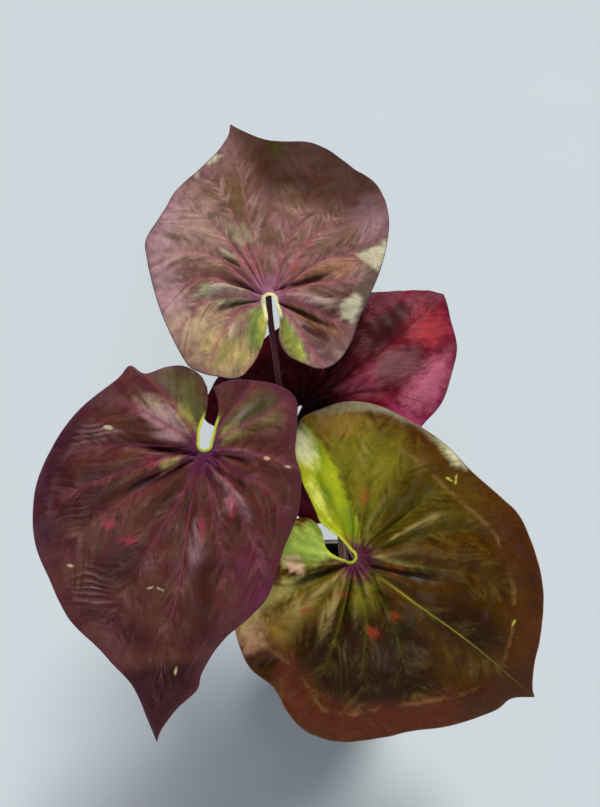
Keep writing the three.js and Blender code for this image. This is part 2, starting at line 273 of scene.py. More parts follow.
soil_floor = POT_FLOOR + SOIL_FIT
turns = np.arange(SOIL_SIDES) * 2 * math.pi / SOIL_SIDES
rings = [(pot_radius(soil_floor) - POT_WALL - SOIL_FIT, soil_floor), (soil_radius, SOIL_TOP - SOIL_EDGE_DROP)]
vertices = [(r * math.cos(a), r * math.sin(a), h) for r, h in rings for a in turns]
for share in np.linspace(1, 0.02, SOIL_RINGS):
    x, y = share * soil_radius * np.cos(turns), share * soil_radius * np.sin(turns)
    vertices += list(zip(x, y, soil_level(x, y)))
vertices += [(0, 0, soil_floor), (0, 0, float(soil_level(0.0, 0.0)))]
soil = new_piece("potting_soil", vertices, ring_faces(len(rings) + SOIL_RINGS, SOIL_SIDES), [peat])


def ball(subdivisions):
    """Points and faces of a ball of radius 1."""
    made = bmesh.new()
    bmesh.ops.create_icosphere(made, subdivisions=subdivisions, radius=1)
    points = np.array([v.co for v in made.verts])
    sides = [[v.index for v in f.verts] for f in made.faces]
    made.free()
    return points, sides


def scattered(name, count, sizes, flatness, material, clear_of_stalks):
    """Rough little lumps that lie on the soil, each a ball of 42 points pushed in and out at random."""
    shape, sides = ball(2)
    points, corners = [], []
    for i in range(count):
        out = soil_radius * math.sqrt(random.uniform(clear_of_stalks ** 2, 0.95))
        way = random.uniform(0, 2 * math.pi)
        x, y = out * math.cos(way), out * math.sin(way)
        size = random.uniform(*sizes) * np.array([1, random.uniform(0.5, 0.9), random.uniform(*flatness)])
        lump = shape * size * random.uniform(0.8, 1.15, (len(shape), 1))
        tilt = np.array(Euler(random.uniform(-0.35, 0.35, 2).tolist() + [way * 3]).to_matrix())
        points.append(lump @ tilt.T + [x, y, float(soil_level(x, y)) + 0.3 * size[2]])
        corners += [[c + i * len(shape) for c in side] for side in sides]
    return new_piece(name, np.vstack(points), corners, [material])


chips = scattered("soil_crumbs", CHIPS, (0.8, 2.6), (0.4, 0.8), peat, 0.3)
bits = scattered("perlite_bits", PERLITE_BITS, (0.7, 1.7), (0.6, 0.9), perlite, 0.35)
for piece in (soil, chips, bits):
    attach(piece, "root")
    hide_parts("soil")


# Tuber: the plant's squat, corky store, as wide as a small potato, set so that its flat crown is just
# above the soil. It has low knobs, rings where old leaves were shed, and a brown papery skin.
TUBER_RADIUS = 30
TUBER_HALF_HEIGHT = 20
TUBER_KNOBS = 1.8
SCAR_HEIGHT = 0.22
SCAR_SPACING = 5.2
CROWN_HEIGHT = 119
CROWN_CUT = 6
BOTTOM_CUT = 3
TUBER_CENTRE = CROWN_HEIGHT - TUBER_HALF_HEIGHT + CROWN_CUT

# Dry tuber skin: dull brown cork in papery flakes of 9 mm, with darker rings where leaves were. The rings of
# a wave texture lie 0.314 of its scale's length apart, so 3.5 mm here.
cork = new_material("corky_tuber_skin", {"Specular IOR Level": 0.3, "Roughness": 0.85})
place = add_node(cork, "TexCoord", {}).outputs["Object"]
blotch = add_node(cork, "TexNoise", {"Scale": 1 / (9 * MM), "Detail": 6.0, "Roughness": 0.65},
                  {"Vector": place})
rings = add_node(cork, "TexWave", {"wave_type": "RINGS", "rings_direction": "Z", "Scale": 1 / (11 * MM),
                 "Distortion": 4.0, "Detail": 3.0}, {"Vector": place})
brown = add_node(cork, "Mix", {"data_type": "RGBA", "A": "#35241b", "B": "#6f5642"}, {"Factor": blotch})
scarred = add_node(cork, "Mix", {"data_type": "RGBA", "blend_type": "MULTIPLY", "Factor": 0.3},
                   {"A": brown, "B": rings})
flaky = add_node(cork, "Bump", {"Strength": 0.7, "Distance": 0.8 * MM}, {"Height": blotch})
wire(cork, {"Base Color": scarred, "Normal": flaky})

shape, sides = ball(5)
level = shape[:, 2]
angle, across = np.arctan2(shape[:, 1], shape[:, 0]), np.hypot(shape[:, 0], shape[:, 1])
knob = TUBER_KNOBS * across * (np.sin(5 * angle + 4 * level) + np.sin(3 * angle - 6 * level))
out = across * TUBER_RADIUS + knob
uneven_out = out + 1.6 * np.sin(3 * angle) + 0.9 * np.sin(7 * angle + 1)
scar = SCAR_HEIGHT * np.sin(2 * math.pi * uneven_out / SCAR_SPACING)
height = np.clip(level * TUBER_HALF_HEIGHT, BOTTOM_CUT - TUBER_HALF_HEIGHT, TUBER_HALF_HEIGHT - CROWN_CUT)
vertices = np.stack([out * np.cos(angle), out * np.sin(angle), height + scar + TUBER_CENTRE], -1)
tuber = new_piece("tuber_with_crown", vertices, sides, [cork])
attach(tuber, "root")
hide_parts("tuber")


# Petioles: four fleshy round stalks, thick where they sheathe the crown and slender at the blade. Each
# grew in one piece with its blade and joins it at the inner end of the sinus, the deep notch at its back.
#
# A leaf hangs at the point "at", turned by its heading, pitch and roll. Its stalk stands at the base angle
# round the crown, rises through the points of its line, and runs from its dark to its light colour.
LEAVES = {
    "top": {
        "at": (-62, 102, 443), "heading": 102, "pitch": 30, "roll": -4, "base_angle": 135,
        "stalk": [(-15, 19, 190), (-34, 40, 275), (-50, 63, 338), (-58, 88, 395), (-62, 102, 424)],
        "stalk_colours": ("#26090f", "#4c1a27", "#6b2f3a"),
    },
    "left": {
        "at": (-109, -3, 388), "heading": -103, "pitch": -42, "roll": -24, "base_angle": 225,
        "stalk": [(-13, -7, 190), (-40, -2, 265), (-76, 2, 327), (-99, 4, 361)],
        "stalk_colours": ("#3a1d1c", "#6e4536", "#8d6a52"),
    },
    "low": {
        "at": (3, -42, 294), "heading": -29, "pitch": -16, "roll": 38, "base_angle": 315,
        "stalk": [(6, 2, 180), (0, 14, 245), (-4, 7, 277), (-2, -14, 289)],
        "stalk_colours": ("#6b4334", "#9a7260", "#c09a94"),
    },
    "back": {
        "at": (-37, 80, 343), "heading": 38, "pitch": 19, "roll": 18, "base_angle": 45,
        "stalk": [(8, 18, 185), (-6, 43, 250), (-22, 68, 300), (-30, 81, 327)],
        "stalk_colours": ("#3a0f16", "#5f1f2c", "#7d3a44"),
    },
}
STALK_RING = 8.5
STALK_BASE_RADIUS = 4.4
STALK_TIP_RADIUS = 2.5
STALK_SHEATH = 0.8
SHEATH_SHARE = 0.06
STALK_RISE = 15
STALK_SIDES = 28
STALK_STEPS = 110
STREAK_LENGTH = 25
PAD_AHEAD = 7
PAD_DEPTH = 0.5
PIECE_GAP = 0.4


def smooth_line(points):
    """A centripetal Catmull-Rom curve through the points, as a function of the share of its length."""
    p = np.array(points, float)
    p = np.vstack([2 * p[0] - p[1], p, 2 * p[-1] - p[-2]])
    t = np.linspace(0, 1, 30, endpoint=False)[:, None]
    pieces = []
    for a, b, c, d in zip(p, p[1:], p[2:], p[3:]):
        ab, bc, cd = (math.sqrt(np.linalg.norm(s)) for s in (b - a, c - b, d - c))
        leaves = ((b - a) / ab - (c - a) / (ab + bc) + (c - b) / bc) * bc
        enters = ((c - b) / bc - (d - b) / (bc + cd) + (d - c) / cd) * bc
        pieces.append(b + leaves * t + (3 * (c - b) - 2 * leaves - enters) * t ** 2
                      + (2 * (b - c) + leaves + enters) * t ** 3)
    line = np.vstack(pieces + [p[-2:-1]])
    length = np.r_[0, np.cumsum(np.linalg.norm(np.diff(line, axis=0), axis=1))]
    return lambda share: np.stack(
        [np.interp(np.asarray(share) * length[-1], length, axis) for axis in line.T], -1)


def leaf_turn(leaf):
    """The leaf's own axes as the rows of a matrix: its x runs to the tip, z out of its upper face."""
    turn = (Euler((0, 0, math.radians(leaf["heading"]))).to_matrix()
            @ Euler((0, -math.radians(leaf["pitch"]), 0)).to_matrix()
            @ Euler((math.radians(leaf["roll"]), 0, 0)).to_matrix())
    return np.array(turn).T


def in_plant(leaf, points):
    """Points of the leaf's own frame, in the plant's."""
    return np.asarray(points, float) @ leaf_turn(leaf) + leaf["at"]


for name, leaf in LEAVES.items():
    # Firm stalk skin: smooth under a thin wax, with fine dark streaks along it that end in paler ones. It is
    # nearly matt, and shows one soft line of light from end to end.
    skin = new_material(f"waxy_stalk_skin_{name}",
                        {"Roughness": 0.52, "IOR": 1.45, "Specular IOR Level": 0.3})
    along = add_node(skin, "Attribute", {"attribute_name": "along"}).outputs["Vector"]
    streaks = add_node(skin, "TexNoise", {"Scale": 1.0, "Detail": 4.0, "Roughness": 0.6}, {"Vector": along})
    stops = tuple(zip((0.34, 0.52, 0.7), leaf["stalk_colours"]))
    tone = add_node(skin, "ValToRGB", {"stops": stops}, {"Fac": streaks})
    ribbed = add_node(skin, "Bump", {"Strength": 0.12, "Distance": 0.2 * MM}, {"Height": streaks})
    wire(skin, {"Base Color": tone, "Normal": ribbed})

    angle = math.radians(leaf["base_angle"])
    base = np.array([STALK_RING * math.cos(angle), STALK_RING * math.sin(angle), CROWN_HEIGHT + PIECE_GAP])
    pad = in_plant(leaf, [PAD_AHEAD, 0, -PAD_DEPTH - PIECE_GAP])
    line = smooth_line([base, base + [0, 0, STALK_RISE], *leaf["stalk"], pad])
    t = np.linspace(0, 1, STALK_STEPS)
    centre = line(t)
    ahead = np.gradient(centre, axis=0)
    ahead /= np.linalg.norm(ahead, axis=1)[:, None]
    sideways = np.zeros_like(ahead)
    last = np.array([1.0, 0, 0])
    for i, way in enumerate(ahead):
        last = last - way * (last @ way)
        last /= np.linalg.norm(last)
        sideways[i] = last
    upward = np.cross(ahead, sideways)
    radius = (STALK_BASE_RADIUS + (STALK_TIP_RADIUS - STALK_BASE_RADIUS) * t ** 0.8
              + STALK_SHEATH * np.exp(-t / SHEATH_SHARE))
    k = np.arange(STALK_SIDES) * 2 * math.pi / STALK_SIDES
    ridges = 1 + 0.025 * np.cos(5 * k + leaf["base_angle"]) + 0.015 * np.cos(9 * k)
    girth = radius[:, None] * ridges
    vertices = (centre[:, None] + girth[..., None] * (np.cos(k)[:, None] * sideways[:, None]
                                                      + np.sin(k)[:, None] * upward[:, None]))
    for i, face in ((0, np.array([0, 0, 1.0])), (-1, leaf_turn(leaf)[2])):
        off = (centre[i] - vertices[i]) @ face / (ahead[i] @ face)
        vertices[i] += off[:, None] * ahead[i]
    faces = ring_faces(STALK_STEPS, STALK_SIDES, poles=False)
    faces.append(tuple(reversed(range(STALK_SIDES))))
    faces.append(tuple(range((STALK_STEPS - 1) * STALK_SIDES, STALK_STEPS * STALK_SIDES)))
    stalk = new_piece(f"stalk_{name}", vertices.reshape(-1, 3), faces, [skin])
    # Streaks are about 1 mm wide and 25 mm long, so the pattern's places are counted in those lengths.
    run = np.r_[0, np.cumsum(np.linalg.norm(np.diff(centre, axis=0), axis=1))]
    round_it = radius[:, None, None] * np.stack([np.cos(k), np.sin(k)], -1)
    streak_place = np.dstack([round_it, np.repeat(run[:, None] / STREAK_LENGTH, STALK_SIDES, 1)])
    place = stalk.data.attributes.new("along", "FLOAT_VECTOR", "POINT")
    place.data.foreach_set("vector", streak_place.astype(np.float32).ravel())
    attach(stalk, "root")
    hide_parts(f"petiole_{name}")


# Blades: thin, firm sheets with a smooth satin upper face, one to a stalk. Veins run from the stalk to the
# rim in grooves, the leaf puffs up and folds between them, and fine side veins wrinkle it.
#
# All lines are in the leaf's own millimetres: x to the tip, y to its left. A vein is the share of its side's
# rim, counted from the tip, where it ends, and two points on its way. The puffs are those of the strips
# between veins, from the midrib to the sinus. A fold is its height, its half width and its line. A ripple
# patch is its middle, its radius, its height and the way across its wrinkles in degrees, a flap the sizes
# of an upturned left sinus edge, and sinus_round the radius of a sinus rounder or tighter than the others.
# The droop is how far each side has sunk 100 mm out, and the collective vein's distance is from the rim.
BLADES = {
    "top": {
        "seed": 11, "collective": 14,
        "droop": {"tip": 5, "lobes": 6, "left": 9, "right": 9},
        "tip": (184, 5),
        "left_sinus": [(-16, 4), (-32, 10), (-47, 19), (-58, 30)],
        "left_rim": [(-60, 38), (-54, 53), (-43, 71), (-36, 75), (-5, 85), (25, 91), (57, 94), (74, 93),
                     (97, 77), (122, 61), (139, 38), (155, 19), (170, 9)],
        "right_sinus": [(-17, -5), (-34, -2), (-45, -5), (-56, -15)],
        "right_rim": [(-62, -26), (-60, -43), (-48, -56), (-25, -70), (11, -94), (41, -109), (68, -117),
                      (93, -115), (121, -98), (143, -79), (153, -61), (157, -36), (163, -22), (177, -1)],
        "midrib": [(57, 4), (103, 5)],
        "left_veins": [(0.17, (50, 10), (100, 21)), (0.32, (42, 16), (80, 37)), (0.5, (30, 22), (54, 50)),
                       (0.64, (20, 24), (30, 57)), (0.77, (9, 26), (6, 56)), (0.9, (-5, 24), (-24, 44))],
        "right_veins": [(0.24, (52, -25), (93, -51)), (0.38, (44, -38), (77, -77)),
                        (0.56, (26, -42), (37, -80)), (0.68, (10, -28), (9, -60)),
                        (0.82, (-3, -20), (-20, -42)), (0.94, (-11, -12), (-33, -20))],
        "left_puffs": [0.25, 0.3, 0.45, 0.6, 0.7, 0.7, 0.5],
        "right_puffs": [0.25, 0.35, 0.5, 0.7, 0.7, 0.6, 0.5],
        "folds": [
            (-4.6, 3.8, [(8, 6), (20, 24), (30, 45)]), (-2.6, 3.4, [(34, 19), (43, 29), (49, 42)]),
            (-4.4, 4, [(2, 9), (1, 31), (-6, 58)]), (-4.4, 4.4, [(9, -6), (14, -38), (21, -78)]),
            (-4.8, 4, [(-3, -8), (-19, -31), (-36, -58)]), (-2.6, 3.4, [(-27, -22), (-39, -36), (-47, -49)]),
            (2.6, 5.8, [(1, -14), (-7, -36), (-23, -56)]), (2.6, 5.8, [(-12, -13), (-33, -24), (-50, -37)]),
            (1.9, 5.8, [(19, -14), (31, -25), (42, -33)]), (2.2, 6.9, [(10, 14), (15, 34), (16, 63)]),
            (1.9, 5.8, [(-7, 19), (-23, 36), (-41, 51)]), (1.9, 4.6, [(-5, 7), (-19, 13), (-34, 22)]),
        ],
        "ripples": [(75, -50, 36, 0.12, 60), (55, 50, 34, 0.08, 130)],
    },
    "left": {
        "seed": 12, "collective": 12,
        "droop": {"tip": 5, "lobes": 15, "left": 22, "right": 5},
        "tip": (238, 7),
        "left_sinus": [(-15, 5), (-26, 6), (-36, 3), (-43, -1)],
        "left_rim": [(-50, 10), (-53, 23), (-54, 50), (-47, 67), (-27, 71), (-1, 74), (14, 82), (45, 86),
                     (82, 78), (114, 72), (128, 63), (152, 43), (179, 31), (190, 30), (207, 16), (226, 8)],
        "right_sinus": [(-10, -5), (-22, -3), (-33, -3), (-42, -5)],
        "right_rim": [(-50, -11), (-55, -25), (-52, -37), (-44, -52), (-48, -63), (-38, -69), (-10, -92),
                      (20, -106), (51, -112), (86, -106), (114, -92), (143, -73), (165, -46), (187, -22),
                      (216, -5)],
        "midrib": [(43, -2), (109, 0), (165, -1)],
        "left_veins": [(0.2, (46, 15), (96, 34)), (0.36, (34, 28), (72, 52)), (0.53, (17, 24), (26, 54)),
                       (0.66, (4, 22), (2, 50)), (0.81, (-11, 17), (-30, 42)), (0.91, (-18, 10), (-36, 20))],
        "right_veins": [(0.23, (44, -11), (100, -33)), (0.39, (35, -34), (75, -74)),
                        (0.52, (22, -42), (42, -76)), (0.63, (8, -40), (14, -74)),
                        (0.76, (-7, -24), (-18, -54)), (0.87, (-14, -17), (-30, -34))],
        "left_puffs": [0.3, 0.5, 0.6, 0.6, 0.5, 0.5, 0.3],
        "right_puffs": [0.3, 0.4, 0.6, 0.7, 0.7, 0.5, 0.3],
        "folds": [
            (-4.6, 5, [(9, -6), (8, -27), (6, -49), (12, -72)]),
            (4.2, 9.2, [(-3, -15), (-9, -35), (-16, -55)]),
            (2.6, 2.9, [(-3, -11), (-15, -22), (-30, -37), (-38, -45)]),
            (-3.8, 5, [(14, -7), (24, -23), (37, -42), (62, -70)]),
            (2.4, 4.6, [(12, -11), (16, -27), (26, -44)]),
            (4.2, 4, [(16, 5), (31, 25), (47, 41), (65, 51)]), (-2.9, 5.8, [(17, 12), (29, 37), (52, 59)]),
            (1.9, 2.3, [(12, 6), (16, 13), (24, 21)]), (-2.4, 4.6, [(8, 9), (7, 29), (15, 50)]),
            (1.6, 3.4, [(4, 9), (1, 28), (5, 50)]), (2.6, 3.4, [(-5, 10), (-18, 26), (-32, 40)]),
            (1.3, 2.1, [(24, 6), (56, 21), (86, 33)]), (2.4, 6.9, [(40, 22), (48, 31)]),
            (-1.9, 5.8, [(37, -16), (62, -30), (93, -40)]), (2.2, 8, [(57, 3), (88, 6), (119, 4)]),
        ],
        "ripples": [(119, -65, 22, 0.75, 3), (12, -90, 20, 0.5, 18), (62, -96, 22, 0.35, 10),
                    (100, -40, 30, 0.08, -10)],
    },
    "low": {
        "seed": 13, "collective": 26,
        "droop": {"tip": 12, "lobes": 8, "left": 9, "right": 9},
        "tip": (195, -21),
        "left_sinus": [(-14, 8), (-35, 11), (-44, 17), (-64, 30), (-84, 47), (-92, 61)],
        "left_rim": [(-95, 73), (-86, 88), (-69, 107), (-46, 118), (-10, 121), (20, 119), (48, 112),
                     (83, 106), (100, 102), (128, 82), (153, 57), (167, 31), (178, 1), (189, -16)],
        "right_sinus": [(-10, -6), (-19, -5), (-31, 5), (-41, 8), (-49, 5), (-57, -4)],
        "right_rim": [(-64, -23), (-67, -47), (-63, -72), (-52, -99), (-39, -115), (-19, -128), (5, -129),
                      (25, -139), (49, -145), (77, -136), (100, -118), (121, -95), (150, -71), (172, -47),
                      (178, -32)],
        "midrib": [(60, -3), (120, -8)],
        "left_veins": [(0.17, (56, 26), (112, 45)), (0.31, (33, 38), (75, 71)), (0.48, (19, 43), (38, 87)),
                       (0.65, (4, 40), (2, 90)), (0.78, (-9, 36), (-30, 84)), (0.9, (-20, 32), (-52, 65))],
        "right_veins": [(0.22, (50, -22), (94, -60)), (0.37, (34, -30), (60, -78)),
                        (0.5, (16, -34), (31, -88)), (0.63, (1, -32), (-7, -84)),
                        (0.74, (-8, -26), (-28, -60)), (0.91, (-18, -18), (-42, -32))],
        "left_puffs": [0.5, 0.7, 0.6, 0.4, 0.4, 0.3, 0.2],
        "right_puffs": [0.5, 0.6, 0.8, 0.9, 0.9, 0.7, 0.5],
        "folds": [
            (-5.4, 5, [(0, -9), (-18, -32), (-36, -62)]), (4, 6.9, [(4, -14), (-11, -45), (-28, -84)]),
            (2.4, 6.9, [(-2, -9), (-24, -20), (-44, -31)]), (2.9, 4.6, [(15, 10), (43, 19), (68, 32)]),
            (-4.2, 5.8, [(19, 3), (50, 14), (95, 34)]), (1.9, 3.4, [(14, 14), (31, 49), (55, 76), (74, 78)]),
            (-2.6, 5.8, [(11, 17), (19, 47), (30, 78)]), (-3.2, 4.6, [(9, -10), (17, -33), (26, -66)]),
            (1.9, 4.6, [(15, -5), (27, -17), (35, -31)]), (-2.6, 5.8, [(23, -2), (51, -28), (74, -54)]),
            (2.4, 5.8, [(7, -16), (7, -47), (8, -78)]), (-2.4, 6.9, [(-15, -122), (-7, -112), (2, -96)]),
            (1.9, 5.8, [(6, 14), (-9, 48), (-22, 83)]), (-1.9, 4.6, [(0, 16), (-15, 44), (-30, 73)]),
        ],
        "ripples": [(95, 60, 30, 0.08, 120), (100, -10, 34, 0.06, 84), (50, -70, 34, 0.08, 36)],
        "flap": {"reach": (8, 30, 70, 110), "width": (2, 6, 12, 13), "lift": (0.5, 4, 8, 8)},
    },
    "back": {
        "seed": 14, "collective": 12,
        "droop": {"tip": 4, "lobes": 6, "left": 10, "right": 8},
        "tip": (181, -5),
        "left_sinus": [(-14, 3), (-32, 7), (-54, 22), (-68, 40)],
        "left_rim": [(-71, 51), (-65, 62), (-50, 69), (-25, 78), (18, 76), (54, 73), (77, 71), (101, 64),
                     (132, 42), (157, 24), (173, 9)],
        "right_sinus": [(-12, -7), (-25, -19), (-47, -35), (-62, -55)],
        "right_rim": [(-66, -70), (-58, -86), (-35, -97), (-5, -100), (24, -97), (49, -92), (69, -85),
                      (99, -81), (125, -68), (151, -51), (168, -26)],
        "midrib": [(64, -6), (127, -9)],
        "left_veins": [(0.2, (60, 16), (108, 29)), (0.36, (42, 24), (72, 47)), (0.52, (24, 30), (38, 57)),
                       (0.66, (6, 32), (2, 60)), (0.8, (-12, 28), (-30, 54)), (0.92, (-22, 18), (-46, 38))],
        "right_veins": [(0.3, (52, -29), (86, -53)), (0.46, (36, -36), (58, -67)),
                        (0.6, (16, -38), (26, -70)), (0.72, (-4, -34), (-9, -70)),
                        (0.84, (-18, -30), (-36, -62)), (0.94, (-26, -28), (-47, -50))],
        "left_puffs": [0.5, 0.5, 0.5, 0.5, 0.5, 0.5, 0.4],
        "right_puffs": [0.5, 0.5, 0.5, 0.5, 0.5, 0.5, 0.4],
        "folds": [
            (-3.5, 9.2, [(24, 3), (68, 14), (116, 20)]), (1.2, 9.2, [(43, 7), (82, 9), (127, 8)]),
            (1.9, 9.2, [(33, -10), (68, -19), (117, -29)]), (1.6, 6.9, [(32, -17), (68, -32), (109, -49)]),
        ],
        "ripples": [(143, -24, 26, 0.16, 52), (110, -55, 30, 0.16, 52), (80, 20, 36, 0.06, 60)],
        "sinus_round": 1.2,
    },
}
SINUS_ROUND = 4
SINUS_TURN = 100
BLADE_HALF_THICKNESS = 0.5
EDGE_HALF_THICKNESS = 0.22
EDGE_THINS_OVER = 5
RIM_SPACING = 2.0
RINGS = 168
UNDER_STEP = 3
PUFF_HEIGHT = 2.6
PUFF_PLEATS = 1.15
PLEAT_HEIGHT = 3.2
PLEAT_PEAK = 34
FOLD_LIFT = 1.25
FOLD_POINTS = 150
MARGIN_WAVE = 2
MARGIN_WAVES = 3.5
SWELL_HEIGHT = 1.3
DENT_HEIGHT = 0.3
VEIN_GROOVE = 0.8
VEIN_WIDTH = 1.8
KEEL_HEIGHT = 1.7
KEEL_WIDTH = 1.7
SIDE_VEIN_SPACING = 4.2
SIDE_VEIN_SWEEP = 1.1
SIDE_VEIN_HEIGHT = 0.03
WRINKLE_SPACING = 4.9
HEM_BEAD = 1.1
HEM_BEAD_WIDTH = 1.9
FLAP_CREASE = 1.2
JUNCTION_AHEAD = 8
# What each place of a blade is told for its colours: distances in millimetres, heights and shares.
MEASURES = ("vein", "midrib", "rim", "hem", "reach", "centre", "furrow", "fold", "gap")

